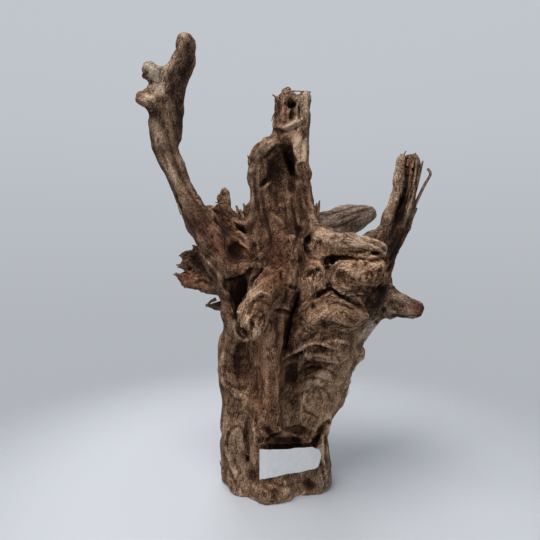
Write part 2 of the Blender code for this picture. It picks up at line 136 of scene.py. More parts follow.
def applyModifier(piece, kind, **settings):
    modifier = piece.modifiers.new(kind.lower(), kind)
    for name, value in settings.items():
        setattr(modifier, name, value)
    makeActive(piece)
    bpy.ops.object.modifier_apply(modifier=modifier.name)


def readVectors(layer, name):
    flat = np.empty(len(layer) * 3, np.float32)
    layer.foreach_get(name, flat)
    return flat.reshape(-1, 3).astype(float)


def readPoints(piece):
    return readVectors(piece.data.vertices, "co") / mm


def readNormals(piece):
    return readVectors(piece.data.vertex_normals, "vector")


def writePoints(piece, points):
    piece.data.vertices.foreach_set("co", (points * mm).astype(np.float32).ravel())
    piece.data.update()


def neighbourMean(piece, values, rounds):
    # smooths a value over the mesh, from each point to its neighbours
    ends = np.empty(len(piece.data.edges) * 2, np.int64)
    piece.data.edges.foreach_get("vertices", ends)
    first, second = ends.reshape(-1, 2).T
    size = len(values)
    links = np.maximum(np.bincount(first, minlength=size) + np.bincount(second, minlength=size), 1)
    columns = values.reshape(size, -1).T.copy()
    for _ in range(rounds):
        for k, column in enumerate(columns):
            total = np.bincount(first, column[second], size) + np.bincount(second, column[first], size)
            columns[k] = 0.5 * column + 0.5 * total / links
    return columns.T.reshape(values.shape)


def smoothRoute(stations, spacing):
    # Catmull-Rom through given stations, with any extra columns carried along
    rows = np.array(stations, float)
    rows = np.vstack([2 * rows[0] - rows[1], rows, 2 * rows[-1] - rows[-2]])
    route = []
    for before, start, end, after in zip(rows, rows[1:], rows[2:], rows[3:]):
        steps = max(1, round(np.linalg.norm(end[:3] - start[:3]) / spacing))
        for t in np.arange(steps) / steps:
            route.append(0.5 * (2 * start + (end - before) * t
                                + (2 * before - 5 * start + 4 * end - after) * t ** 2
                                + (3 * start - before - 3 * end + after) * t ** 3))
    route.append(rows[-2])
    return np.array(route)


def valueNoise(points, wavelength, draw):
    # smooth random values from -1 to 1 that change over about one wavelength
    scaled = points / wavelength
    cell = np.floor(scaled).astype(np.int64)
    blend = scaled - cell
    blend = blend * blend * (3 - 2 * blend)
    total = np.zeros(len(points))
    for corner in np.ndindex(2, 2, 2):
        weight = np.prod(np.where(corner, blend, 1 - blend), axis=1)
        mixed = (cell + corner) @ np.array([73856093, 19349663, 83492791]) + draw * 1013904223
        mixed = (mixed ^ (mixed >> 15)) * 2246822519 & 0xFFFFFFFF
        mixed = (mixed ^ (mixed >> 13)) * 3266489917 & 0xFFFFFFFF
        total += weight * ((mixed ^ (mixed >> 16)) / 0x7FFFFFFF - 1)
    return total


# The roots that the wood is made of: half width, how worn, grey, red and pale each is from 0 to 1, and the
# path of its fibres. Worn is torn and flaky, grey is bleached, red is bare heartwood and pale is light tan.
roots = {
    "foot": (34, 0.5, 0.1, 0.1, 0.55, [(-10, 4, -20), (-6, 4, 40), (0, 4, 70)]),
    "leftColumn": (20, 0.5, 0.1, 0.2, 0.45, [(-33, -6, -20), (-31, -8, 60), (-36, -8, 115), (-36, -7, 135)]),
    "centralColumn": (13, 0.5, 0.0, 0.5, 0.25, [(-9, -27, -20), (-7, -30, 60), (-5, -33, 110), (-2, -38, 150),
        (6, -30, 193), (10, -18, 214)]),
    "rightLeg": (14, 0.5, 0.45, 0.1, 0.25, [(40, -7, -20), (39, -6, 30), (42, 0, 60)]),
    "apron": (24, 0.6, 0.0, 0.15, 1.0, [(30, -8, 50), (38, -8, 80), (46, -6, 108), (58, -10, 128)]),
    "rightMass": (30, 0.75, 0.1, 0.3, 0.45, [(30, -10, 125), (34, -14, 150), (34, -12, 180), (28, -6, 215)]),
    "backLeft": (21, 0.6, 0.3, 0.15, 0.4, [(-24, 18, -20), (-22, 20, 40), (-18, 24, 90), (-14, 24, 170)]),
    "backRight": (21, 0.7, 0.25, 0.2, 0.35, [(20, 16, -20), (22, 20, 40), (30, 24, 130), (22, 22, 185)]),
    "leftRoot": (13, 0.3, 0.22, 0.12, 0.22, [(-35, -8, 138), (-41, -8, 187), (-51.5, -8, 211), (-66, -6, 234),
        (-77, -5, 253), (-85, -4, 271), (-96, -3, 297), (-98, -2, 313), (-97.5, -2, 327), (-93, 0, 354),
        (-82, 0, 376), (-79, 0, 391), (-82, 0, 402)]),
    "upperNub": (7, 0.5, 0.3, 0.0, 0.7, [(-94, 0, 348), (-104, -3, 360), (-111, -5.5, 364.5),
        (-121, -9, 366)]),
    "lowerNub": (7.5, 0.4, 0.1, 0.2, 0.25, [(-94, -2, 334), (-107, -7, 336), (-122, -13, 338)]),
    "droopingRoot": (13, 0.5, 0.0, 0.2, 0.6, [(8, -22, 202), (4, -36, 188), (-4, -47, 180), (-19, -65, 158),
        (-25, -72, 140)]),
    "spire": (26, 0.55, 0.1, 0.25, 0.15, [(-4, 2, 195), (3, 2, 230), (4.5, 2, 249), (-1, 3, 277), (0, 3, 290),
        (10, 3, 304)]),
    "spireTop": (17, 0.8, 0.15, 0.1, 0.65, [(10, 3, 304), (12.5, 3, 321), (13, 3, 352)]),
    "spireHood": (8, 0.45, 0.15, 0.0, 0.5, [(12, -2, 316), (4, -5, 306), (-4, -8, 298), (-13, -9, 289),
        (-19, -9, 276), (-21, -12, 250)]),
    "spireEdge": (6.5, 0.45, 0.1, 0.15, 0.7, [(27, -3, 350), (24, -6, 318), (23, -11, 274), (31, -17, 233),
        (40, -25, 216)]),
    "prong": (12, 0.6, 0.15, 0.1, 0.35, [(80, 2, 150), (94, 5, 180), (100, 6, 206), (108, 4, 237),
        (117, 4, 272), (120, 4, 296)]),
    "rightLimb": (15, 0.5, 0.6, 0.0, 0.5, [(40, -2, 90), (54, -1, 114), (70, 2, 136), (86, 4, 154)]),
    "rightStub": (14, 0.6, 0.3, 0.1, 0.5, [(86, 6, 162), (105, 6, 160), (120, 4, 157), (140, 0, 153)]),
    "highStub": (10, 0.4, 0.05, 0.0, 0.85, [(20, -14, 214), (37, -26, 214), (55, -36, 212), (84, -50, 207)]),
    "brokenLobe": (12, 0.7, 0.0, 0.35, 0.8, [(22, -18, 182), (40, -33, 187), (56, -43, 188), (84, -59, 195)]),
    "lowLobe": (13, 0.65, 0.0, 0.2, 0.55, [(18, -28, 150), (35, -42, 160), (51, -48, 163), (72, -54, 159)]),
    "greyRoot": (13, 0.35, 0.5, 0.0, 0.75, [(20, 22, 220), (38, 32, 230), (57, 44, 234), (77, 56, 240),
        (93, 64, 246), (108, 69, 252)]),
    "burl": (13, 1.0, 0.0, 0.1, 0.1, [(-50, 10, 190), (-73, 21, 199), (-92, 27, 198)]),
    "leftSpike": (7, 0.8, 0.0, 0.8, 0.3, [(-44, 2, 176), (-75, 7, 180), (-97, 8, 179)]),
    "smallSpike": (5, 0.6, 0.3, 0.0, 0.2, [(-44, 10, 156), (-72, 18, 158)]),
    "crotchRoots": (9, 0.7, 0.0, 0.6, 0.45, [(-68, 2, 246), (-50, -2, 232), (-34, -6, 218), (-16, -13, 198)]),
    "crotchFlake": (5, 0.6, 0.1, 0.2, 0.7, [(-46, 12, 236), (-46, 14, 251), (-42, 15, 272)]),
    "backProng": (12, 0.5, 0.5, 0.1, 0.5, [(0, 20, 192), (2, 38, 218), (4, 54, 238), (2, 82, 270)]),
    "backStub": (12, 0.6, 0.2, 0.3, 0.5, [(-14, 24, 138), (-28, 42, 156), (-47, 68, 179)]),
    "backKnuckle": (12, 0.6, 0.5, 0.0, 0.5, [(24, 24, 110), (40, 42, 122), (61, 61, 141)]),
}
tintNames = ("wear", "grey", "red", "pale")
grainPlan = {"spacing": 6.0, "upright": (0.15, 0.1, 1.0), "sharpness": 6, "floor": 0.02, "batch": 4000}
samples = {"middle": [], "tangent": [], "radius": [], "tint": [], "along": []}
for radius, *tint, path in roots.values():
    route = smoothRoute(path, grainPlan["spacing"])
    strides = np.linalg.norm(np.diff(route, axis=0), axis=1)
    samples["middle"].append(route)
    samples["tangent"].append(unit(np.gradient(route, axis=0)))
    samples["radius"].append(np.full(len(route), radius, float))
    samples["tint"].append(np.tile(tint, (len(route), 1)))
    samples["along"].append(np.concatenate([[0], np.cumsum(strides)]))
samples = {name: np.concatenate(parts) for name, parts in samples.items()}


def grainAt(points):
    # the way of the fibres, the weathering and the place within its root, for each point
    directions, tints, places = [], [], []
    upright = samples["tangent"] * np.sign(samples["tangent"] @ grainPlan["upright"])[:, None]
    for first in range(0, len(points), grainPlan["batch"]):
        some = points[first:first + grainPlan["batch"]]
        reach = np.linalg.norm(some[:, None] - samples["middle"], axis=2) / samples["radius"]
        weight = 1 / (reach ** grainPlan["sharpness"] + grainPlan["floor"])
        directions.append(unit(weight @ upright, tiny))
        tints.append(weight @ samples["tint"] / weight.sum(axis=1, keepdims=True))
        nearest = weight.argmax(axis=1)
        offset = some - samples["middle"][nearest]
        tangent = samples["tangent"][nearest]
        # a root that runs towards the viewer takes its side from another axis
        side = unit(np.cross(tangent, np.where(np.abs(tangent[:, 1:2]) < 0.9,
                                               (0.0, 1.0, 0.0), (0.0, 0.0, 1.0))))
        along = dots(offset, tangent) + samples["along"][nearest]
        places.append(np.stack([dots(offset, side), dots(offset, np.cross(side, tangent)), along], axis=1))
    return np.concatenate(directions), np.concatenate(tints), np.concatenate(places)


def fibres(points, directions, wavelength, reach, draw):
    # noise smeared along the grain into streaks, scaled to a spread of one
    taps = np.linspace(-reach, reach, 2 * round(reach / wavelength) + 1)
    total = sum(valueNoise(points + tap * directions, wavelength, draw) for tap in taps)
    return total / total.std()


report("viewpoint and grain routes")

# The wood's own solid, merged and smoothed, with the torn edges that are too thin for its large facets.
woodPlan = {
    "merge": 0.01,           # points nearer than this become one
    "firstVoxel": 1.6,       # size of the first remesh
    "firstSmoothing": 5,     # rounds that melt the large facets
    "swellBack": 1.06,       # how far each round swells the skin again
    "strandSpacing": 2.5,    # between the rings of a torn edge or a splinter
    "leastStrand": 0.15,     # half width of the finest tip
    "traceSpacing": 0.8,     # pixels between the places where a path is traced
    "fineVoxel": 1.15,       # size of the second remesh
    "triangles": 176000,
    "carvingRounds": 4,      # smoothing of the way that the carving stands up
    "strokeGain": 1.6,       # how much deeper the carving goes than its strokes say
    "grainSwirl": 0.6,       # how far the fibres wander in torn wood
    "swirlWavelength": 30.0,
    "footHeight": 0.6,       # below this the foot stays flat
}

# Hooks and torn tips that belong to the skin: stations of x, y, z and half thickness.
tornEdges = {
    "crownNub": [(8, 1, 338, 3.6), (7.6, 0, 347, 3.3), (7.3, 0, 352, 2.4)],
    "crownLeft": [(2, -3, 334, 2.6), (0, -5, 341, 1.9), (-2, -6, 344, 1.2)],
    "crownRight": [(20, -3, 328, 3.2), (25, -3, 336, 2.6), (30, -3, 339, 1.5)],
    "burlWeb": [(-105, -3, 362, 4.2), (-107, -4, 356, 4.3), (-108.5, -5, 350, 4.2), (-113, -8, 343, 4.2)],
    "burlHookHigh": [(-78, 20, 203, 3.6), (-86, 20, 207, 2.6), (-92, 19, 203, 1.3)],
    "burlHookLow": [(-80, 18, 193, 3.4), (-89, 17, 193, 2.4), (-96, 16, 197, 1.2)],
    "burlHookTop": [(-66, 16, 206, 3.4), (-73, 15, 211, 2.4), (-79, 15, 214, 1.2)],
    "burlHookEnd": [(-84, 22, 187, 3.0), (-92, 22, 185, 2.2), (-97, 21, 188, 1.2)],
    "flakeBody": [(-44, 12, 241, 3.6), (-45, 13, 249, 3.8), (-46, 14, 258, 3.6), (-46.5, 14, 264, 3.0)],
    "flakeHook": [(-47, 13, 249, 2.8), (-52, 13, 256, 2.4), (-55, 13, 259, 1.4)],
    "crotchChunk": [(-27, 4, 238, 4.0), (-26, 4, 246, 3.6), (-25, 4, 251, 2.4)],
    "spikeHook": [(-84, 5, 184, 2.8), (-92, 4, 187, 1.8), (-97, 4, 186, 1.1)],
}

# Splinters that stand free: half thickness at root and tip, distance behind the origin, path in pixels.
splinters = {
    "prongLong": (1.7, 1.1, 7, [(400, 240), (408, 222), (416, 203), (424, 186), (430.5, 174.5), (430, 171.5),
        (427.5, 168.5)]),
    "prongShort": (1.6, 0.8, 3, [(411, 205), (416, 189), (420, 173), (422.8, 161)]),
    "prongMiddle": (1.7, 1.1, 1, [(408, 214), (413, 196), (418, 175), (420.5, 166)]),
    "prongInner": (1.6, 1.0, -2, [(405, 218), (410, 198), (414.5, 178), (416.5, 159)]),
    "prongFront": (1.5, 0.9, -6, [(403, 228), (408, 211), (413, 196), (415, 186)]),
    "prongTopLeft": (1.9, 1.0, 2, [(400, 166), (401, 159), (401.5, 154)]),
    "prongTopMiddle": (1.7, 0.9, 0, [(407, 166), (408, 159), (409.5, 155)]),
    "prongTopRight": (1.5, 0.7, -2, [(412, 168), (413.5, 160), (415.5, 153)]),
    "prongTopTwig": (0.9, 0.4, 2, [(405, 160), (404, 155), (406, 151)]),
    "limbTwig": (1.1, 0.6, -2, [(386, 268), (390, 262), (395, 256), (398.5, 252)]),
    "limbSpur": (1.5, 0.5, 5, [(390.5, 264), (395, 257.5), (398, 250)]),
    "crownTwig": (0.7, 0.45, -6, [(284, 96), (289, 91.5), (298, 91), (305, 92), (311, 92)]),
    "crownSpur": (1.1, 0.6, -6, [(284, 103), (278, 99), (272.5, 94.5)]),
    "crownSideSpur": (1.2, 0.4, -2, [(280, 107.5), (274.5, 113.5), (271.5, 121)]),
    "shoulderSpur": (1.7, 0.6, -2, [(254, 172), (250, 163), (247.8, 155.5)]),
    "shoulderChip": (1.2, 0.5, -3, [(256, 168), (253, 161), (251.5, 157)]),
    "spireSideSpur": (2.6, 0.6, 2, [(316, 216), (318.5, 208), (319.5, 200.5)]),
    "spireSideChip": (2.2, 0.6, -2, [(312, 214), (315.5, 208), (317, 203)]),
    "crotchTwig": (1.6, 0.6, -4, [(206, 212), (213, 208), (221, 203), (226, 201)]),
    "crotchSpur": (2.8, 0.9, 2, [(247, 221), (245.5, 212), (243.5, 203.5)]),
    "crotchChip": (2.4, 0.9, 0, [(239, 218), (238, 211), (236, 205.5)]),
    "crotchPeg": (2.2, 0.9, -2, [(243, 219), (241.5, 213), (240.5, 209.5)]),
    "flakePoint": (1.7, 0.5, 12, [(225.5, 199.5), (221.5, 197), (217.8, 194.6)]),
    "flakeSpike": (1.6, 0.4, 12, [(226, 204.5), (221, 203.5), (215.4, 202.3)]),
    "kneeSpur": (1.9, 0.7, -10, [(182, 214), (179.5, 208), (178, 203)]),
    "spikeSpur": (1.2, 0.5, 2, [(196, 276), (188, 272), (183.5, 270)]),
    "apronChip": (2.2, 0.7, -8, [(344, 366), (350, 361), (353.5, 356)]),
    "leftChip": (2.0, 0.6, 6, [(216, 299), (210, 302), (206, 307)]),
}

# Slivers that lift along the grain where the wood is torn, off the ground and clear of the tag.
slivers = {
    "count": 700, "length": (4.0, 12.0), "thickness": (0.3, 0.65), "lift": (0.01, 0.09),
    "farthest": 1.5, "seed": 7,
    "leastWear": 0.35, "leastBulge": -0.15, "lowest": 8, "tagFront": -20, "tagLow": 15, "tagHigh": 55,
    "downOrUp": (0.3, 0.7), "sunk": 1.2, "middleLift": 0.4, "middleSize": 0.85, "bulgeRounds": 8,
}


def strandObject(name, strands, sides=6):
    # closed tapering strands, each along its own stations
    curve = bpy.data.curves.new(name, "CURVE")
    curve.dimensions = "3D"
    curve.bevel_depth = mm
    curve.bevel_resolution = sides // 2 - 1
    curve.use_fill_caps = True
    for stations in strands:
        route = smoothRoute(stations, woodPlan["strandSpacing"])
        spline = curve.splines.new("POLY")
        spline.points.add(len(route) - 1)
        for point, station in zip(spline.points, route):
            point.co = (*(station[:3] * mm), 1)
            point.radius = max(woodPlan["leastStrand"], station[3])
    strand = bpy.data.objects.new(name, curve)
    bpy.context.collection.objects.link(strand)
    makeActive(strand)
    bpy.ops.object.convert(target="MESH")
    return bpy.context.active_object


def joinPieces(pieces, name):
    for item in bpy.context.view_layer.objects:
        item.select_set(item in pieces)
    bpy.context.view_layer.objects.active = pieces[0]
    bpy.ops.object.join()
    pieces[0].name = name
    return pieces[0]


def keepLargestPart(piece):
    # drops crumbs that hang free beside the piece
    mesh = bmesh.new()
    mesh.from_mesh(piece.data)
    left = set(mesh.verts)
    parts = []
    while left:
        part = [left.pop()]
        for vertex in part:
            for side in vertex.link_edges:
                other = side.other_vert(vertex)
                if other in left:
                    left.remove(other)
                    part.append(other)
        parts.append(part)
    parts.sort(key=len)
    bmesh.ops.delete(mesh, geom=[vertex for part in parts[:-1] for vertex in part])
    mesh.to_mesh(piece.data)
    mesh.free()


def remesh(piece, voxel):
    applyModifier(piece, "REMESH", mode="VOXEL", voxel_size=voxel * mm)
    keepLargestPart(piece)


def rayTree(piece):
    return BVHTree.FromObject(piece, bpy.context.evaluated_depsgraph_get())


wood = bpy.data.objects.new("driftwoodSurface", frame["nodes"]["driftwood"].data.copy())
bpy.context.collection.objects.link(wood)
editMesh(wood, bpy.ops.mesh.remove_doubles, threshold=woodPlan["merge"] * mm)
wood = joinPieces([wood, strandObject("tornEdges", tornEdges.values())], wood.name)
remesh(wood, woodPlan["firstVoxel"])
places = readPoints(wood)
for _ in range(woodPlan["firstSmoothing"]):
    places = neighbourMean(wood, places, 1)      # shrinks, and swells back
    places = (1 + woodPlan["swellBack"]) * places - woodPlan["swellBack"] * neighbourMean(wood, places, 1)
writePoints(wood, places)
report(f"first skin, {len(wood.data.polygons)} faces")

# Carving on the side that the photograph shows: half width, height or depth, then its path in pixels.
# A lip stands up on the left of its path, as one walks it, and drops away on the right by its third value.
carving = {
    "crown": {
        "lips": [
            (2.0, 1.6, 2.4, [(274, 128), (281, 129), (284, 130), (290, 127), (294, 125), (298, 123),
                (303, 121)])],
        "ridges": [(1.2, 1.2, [(283, 131), (286, 134), (289, 138)])],
        "grooves": [(1.2, 1.8, [(302, 130), (304, 136), (301, 145), (301, 154), (300, 161)]),
            (0.9, 1.8, [(276, 130), (279, 135.5), (280.4, 142)]),
            (1.5, 3.0, [(293, 109), (293, 115), (292, 122)]),
            (0.9, 1.4, [(279, 100), (279, 112), (280, 124)]), (0.9, 1.3, [(286, 98), (286, 110), (287, 122)]),
            (1.0, 1.5, [(299, 104), (299, 114), (298, 121)]),
            (0.9, 1.2, [(275, 108), (276, 118), (276, 127)])],
        "holes": [(3.2, 10.0, [(291.5, 100), (291.5, 103), (291, 107)]),
            (1.4, 6.0, [(292, 109), (291, 114), (290, 119)])],
    },
    "hood": {
        "lips": [
            (2.2, 1.5, 3.2, [(264, 156), (266, 153), (269.5, 150), (274.6, 146), (278.5, 144.5),
                (282, 144.5)])],
        "ridges": [(1.1, 1.4, [(289, 151), (288, 155.5), (291, 159)]),
            (1.4, 1.8, [(294, 145), (297, 154), (300, 161), (298, 167), (299, 176)]),
            (2.0, 1.2, [(252, 164), (250, 175), (249, 184), (249, 198)]),
            (1.2, 1.3, [(260.6, 190), (267.6, 185), (271, 182)])],
        "grooves": [(1.4, 1.4, [(262, 157), (261, 161), (261, 165)])],
        "holes": [(2.6, 7.0, [(284, 148), (287, 157), (291, 167), (297, 179)]),
            (2.0, 5.0, [(261.5, 187.5), (264, 182), (268, 178.5), (271, 177)])],
    },
    "spire": {
        "ridges": [(1.3, 1.0, [(272, 214), (278, 219), (283, 224)]),
            (1.3, 1.3, [(297, 215), (298, 220), (299.5, 225)])],
        "grooves": [(1.2, 1.7, [(256, 166), (254, 180), (255, 196), (258, 211), (262, 226)]),
            (1.5, 2.2, [(262, 190), (263, 205), (266, 222), (268.8, 233), (269.7, 243), (271.3, 248)]),
            (1.1, 0.8, [(276, 190), (277, 202), (280, 214)]),
            (1.1, 1.2, [(291, 194), (292, 205), (296, 222), (298, 240)]),
            (1.1, 0.8, [(284, 200), (286, 212), (287, 228)]),
            (1.2, 1.8, [(302, 163), (303, 180), (306, 200), (311, 216)]),
            (1.0, 1.4, [(300, 226), (297, 238), (293, 250)]),
            (1.0, 1.3, [(283, 250), (286, 246), (288, 240)])],
    },
    "crotch": {
        "ridges": [(2.4, 2.8, [(214, 215), (221.6, 218.2), (233.2, 221.6), (244.8, 224), (249.8, 221)]),
            (2.2, 2.8, [(220.7, 224), (233, 229), (241.5, 234.8), (249.8, 241.5), (256.4, 248)]),
            (1.8, 2.0, [(229, 236), (237.3, 240), (245.6, 246.4), (253, 254)]),
            (1.2, 1.4, [(207, 206), (214, 216), (222, 226)])],
        "grooves": [(1.6, 3.6, [(216, 219), (220, 222), (226, 226), (231, 230)]),
            (1.9, 4.2, [(237.3, 228.2), (241, 230.5), (244.8, 233.2)]),
            (1.4, 3.2, [(248, 238), (253, 244), (256, 248)]), (1.3, 2.6, [(254, 256), (258, 261.4)]),
            (1.2, 2.0, [(212.4, 214), (217, 220), (223, 228), (229, 235)]),
            (0.9, 1.3, [(220.4, 195.3), (224, 199), (227.3, 203)]),
            (5.0, 3.0, [(229, 246), (235, 252), (234, 259)])],
    },
    "pocket": {
        "lips": [(2.0, 1.5, 4.0, [(225.7, 281.3), (230.7, 277), (243, 273), (249.8, 268)])],
        "ridges": [(1.8, 1.5, [(221, 276), (222, 287), (226, 293), (231, 300), (232.5, 308), (233, 318.6)]),
            (1.5, 1.8, [(249.8, 279.6), (252, 276), (254.7, 273), (259.7, 268.8), (264, 263)])],
        "grooves": [(2.0, 4.0, [(253, 288), (258, 278), (266, 273)]),
            (1.5, 2.5, [(225, 278), (225.5, 285), (226, 290)])],
    },
    "droopingRoot": {
        "ridges": [(1.5, 1.4, [(261.4, 279.6), (251.4, 291.2), (243.9, 302.8), (239.8, 311), (234.8, 322.7)]),
            (1.6, 1.0, [(253, 296), (261.4, 292.9), (269.7, 296.2)]),
            (1.4, 1.8, [(233.5, 327), (236.7, 336), (243.2, 340), (250.8, 339), (253, 335)]),
            (1.2, 1.4, [(242, 320), (243, 334)])],
        "grooves": [(0.9, 1.2, [(258, 297.5), (264, 296.5), (269, 298.5)]),
            (0.9, 1.2, [(248, 306), (256, 301), (266, 303), (272, 309)]),
            (0.9, 1.1, [(246, 314), (253, 309), (261, 311), (266, 318)]),
            (0.9, 1.0, [(252, 318), (258, 316), (262, 322)])],
        "holes": [(2.4, 5.0, [(238, 322), (239, 326), (241, 330)]),
            (2.0, 4.5, [(246, 329), (247, 333), (249, 336)]),
            (1.5, 3.5, [(251, 321), (251.5, 325), (250, 328)])],
    },
    "column": {
        "lips": [
            (1.8, 1.0, 1.4, [(277, 424), (279.5, 410), (277.5, 398), (279, 388), (278, 376), (281, 367),
                (284.4, 357)]),
            (1.8, 1.3, 3.0, [(292, 325), (291, 333), (289.8, 341), (287, 349), (285.5, 356)]),
            (2.0, 1.5, 3.0, [(275, 308), (283, 309), (291, 311)]),
            (1.6, 1.2, 3.0, [(291.2, 310.3), (294.5, 299.5), (297.8, 289.5)])],
        "ridges": [(1.6, 1.0, [(259.5, 351.7), (257.3, 362.5), (256, 373.4), (254, 385), (253, 396)])],
        "grooves": [(1.3, 2.5, [(281.3, 271), (282, 276), (283, 282)]),
            (1.3, 2.6, [(289.6, 286), (293, 287.5), (296.2, 288.7)]),
            (0.9, 1.2, [(283, 257), (286, 254), (289, 257), (287, 261), (284, 260)]),
            (1.0, 0.6, [(276, 262), (275, 275), (276, 290), (278, 303)]),
            (1.0, 0.6, [(287, 262), (287, 275), (286, 290), (285, 304)]),
            (0.9, 0.7, [(277, 316), (277, 335), (276, 350)]),
            (0.9, 0.6, [(264, 380), (262, 390), (260, 402)])],
        "holes": [(2.2, 3.0, [(299, 293), (296, 303), (292, 314), (289, 326), (287, 340)])],
    },
    "apron": {
        "lips": [
            (2.2, 1.8, 3.2, [(284.4, 359.3), (288, 356), (293, 353.9), (301.8, 349.5), (310.4, 345.2),
                (319, 344), (326.7, 347.4), (334.3, 349.5)])],
        "ridges": [(1.2, 1.0, [(323.5, 342), (337.6, 340.8), (350.6, 344)]),
            (1.6, 1.3, [(226, 343), (223, 358), (221.5, 372), (222, 381), (228, 387)])],
        "grooves": [(1.0, 1.4, [(307, 362.5), (312, 359), (318, 358.2), (326.7, 360.4)]),
            (1.0, 1.5, [(309.4, 353.9), (314, 352.3), (319, 351.7), (327.8, 355), (334, 360)]),
            (1.0, 1.4, [(300, 372), (308, 368), (318, 367), (328, 370), (336, 377)]),
            (1.0, 1.3, [(296, 384), (305, 379), (316, 378), (326, 382)]),
            (1.0, 1.3, [(330, 352), (338, 358), (342, 366)]),
            (1.0, 1.2, [(296, 396), (304, 392), (314, 392)]),
            (1.0, 1.3, [(322, 388), (328, 394), (331, 402)]),
            (1.1, 2.2, [(303, 404.8), (306, 411.3), (312.6, 414.6), (317, 420)]),
            (2.0, 5.0, [(331, 421), (324.5, 425.4), (319, 432), (315.9, 438.5), (312.6, 447)]),
            (0.9, 1.1, [(226, 350), (232, 356), (240, 358), (248, 354)]),
            (0.9, 1.1, [(224.8, 366), (231, 372), (240, 374), (250, 370)]),
            (0.9, 1.1, [(225, 380), (232, 386), (241, 388), (250, 384)]),
            (0.9, 1.1, [(230, 396), (238, 400), (246, 398)])],
        "holes": [(5.0, 5.0, [(293, 361), (291, 374), (290, 388)]),
            (3.0, 3.0, [(310, 352), (320, 350), (330, 352)])],
    },
    "foot": {
        "ridges": [(3.0, 1.8, [(264, 443), (272, 441), (279, 444)]),
            (1.8, 1.3, [(253, 420), (254, 427.6), (255, 438.5), (253, 448), (252, 458)]),
            (1.6, 1.4, [(277.9, 427.6), (284.4, 432), (291, 433.5), (297.4, 437.4), (306, 436)])],
        "grooves": [
            (1.0, 1.7, [(227, 447), (227, 438.5), (231.3, 429.8), (236.7, 426.5), (242, 428.7), (244.3, 434),
                (244.3, 442.8)]), (1.6, 2.0, [(246.5, 418), (246.5, 430), (246.5, 440), (247.5, 452.5)]),
            (3.0, 2.2, [(250, 468), (252, 476), (254, 482)]),
            (1.0, 1.1, [(225, 455), (229, 468), (235, 482), (243, 492)]),
            (1.0, 1.0, [(232, 452), (237, 466), (243, 478)]),
            (1.0, 1.0, [(262, 484), (268, 490), (280, 493)]),
            (1.0, 1.1, [(270, 482), (282, 486), (294, 484)]),
            (1.0, 1.4, [(324, 432), (321, 444), (320, 458), (323, 472), (326, 486)]),
            (1.0, 1.2, [(328, 424), (326, 440), (326, 456), (328, 470)])],
        "holes": [(2.6, 4.0, [(264, 427), (268, 431), (272, 437)]),
            (2.2, 6.0, [(262, 447.5), (280, 447.8), (298, 447.5), (311, 446)]),
            (3.0, 4.0, [(262, 440), (276, 441), (292, 441), (306, 440)]),
            (1.8, 5.0, [(246.5, 456), (248, 459), (247, 462)]), (0.9, 3.0, [(274.5, 495), (274.7, 499)]),
            (4.0, 4.0, [(304, 480), (310, 486), (314, 490)])],
    },
    "leftRoot": {
        "ridges": [(1.0, 1.2, [(145.2, 94.5), (151, 99.6), (155.4, 104.7), (161.2, 107.3)]),
            (1.3, 1.4, [(177, 203), (178, 209), (181, 214)]),
            (1.2, 1.2, [(197.4, 246), (203.6, 256.5), (213.5, 268), (219.6, 276), (221, 287)])],
        "grooves": [
            (0.9, 0.7, [(152, 120), (158, 140), (165, 160), (173, 180), (183, 200), (194, 220), (205, 240)]),
            (0.9, 0.7, [(160, 112), (167, 135), (174, 158), (183, 180), (193, 198), (204, 218), (214, 236)]),
            (0.9, 0.7, [(170, 110), (176, 132), (182, 152), (190, 172), (199, 190)]),
            (5.0, 2.0, [(172, 78), (173, 90), (172, 102)]),
            (1.0, 1.8, [(178.3, 202.2), (180, 206), (181.4, 209.8)]),
            (1.2, 2.0, [(189.5, 36), (192, 39), (194, 43)]), (1.1, 1.5, [(151, 80), (151.5, 84)]),
            (1.2, 1.8, [(196, 281), (204, 281), (210, 284)])],
        "holes": [(3.2, 3.0, [(142.5, 70), (143.5, 75)]), (4.0, 5.0, [(193, 254), (197, 262), (203, 268)])],
    },
    "highStub": {
        "lips": [
            (2.0, 0.8, 3.0, [(314.6, 258), (319.5, 259), (325, 257), (337.7, 256), (349, 255.5),
                (360.2, 257)]),
            (1.9, 1.0, 3.4, [(358, 258), (367, 258.5), (375, 258), (382, 255.5), (383.5, 252), (380, 247),
                (373, 243.5), (364, 240.5)])],
        "ridges": [
            (2.0, 1.2, [(313.9, 231.2), (320.2, 229.5), (329.3, 233.3), (337.7, 234.7), (346, 236),
                (356.7, 238)]),
            (1.0, 1.1, [(370, 251), (374, 250), (380, 251.5), (383, 254.5), (380, 257), (373, 256)])],
        "grooves": [(1.2, 1.7, [(349, 251), (353, 253), (360, 252), (369, 250)]),
            (1.0, 1.5, [(316.7, 243), (321.6, 242)]), (0.9, 1.3, [(326.5, 240), (329, 243)]),
            (0.9, 1.2, [(322, 236), (330, 238), (338, 238)]),
            (0.9, 1.2, [(336, 244), (344, 243), (352, 244)])],
        "holes": [(1.4, 7.0, [(306, 241), (305.5, 247), (308, 254)]),
            (1.4, 6.0, [(314, 233), (310, 236), (307, 241), (306, 246), (308, 251)]),
            (1.9, 6.0, [(372, 252.5), (376.3, 253.3), (380, 254.5)])],
    },
    "brokenLobe": {
        "lips": [
            (1.6, 1.5, 4.4, [(311, 298), (318, 294), (324, 290), (331, 287.5), (335.6, 290), (344, 295),
                (351.8, 298), (360.2, 300)]),
            (1.8, 2.0, 4.6, [(352, 295), (366, 291), (374, 284), (381, 276), (386, 269), (389, 263)]),
            (1.6, 0.9, 1.8, [(344, 262), (338, 268), (333, 276), (331, 284)])],
        "ridges": [(1.5, 1.3, [(310.4, 262.5), (316, 262), (322.3, 262)]),
            (1.4, 1.5, [(304.7, 270.5), (309, 268.5), (313.2, 267.7), (320.2, 267)]),
            (1.3, 1.5, [(333.5, 270), (336, 265), (339.4, 262), (344, 261.4)]),
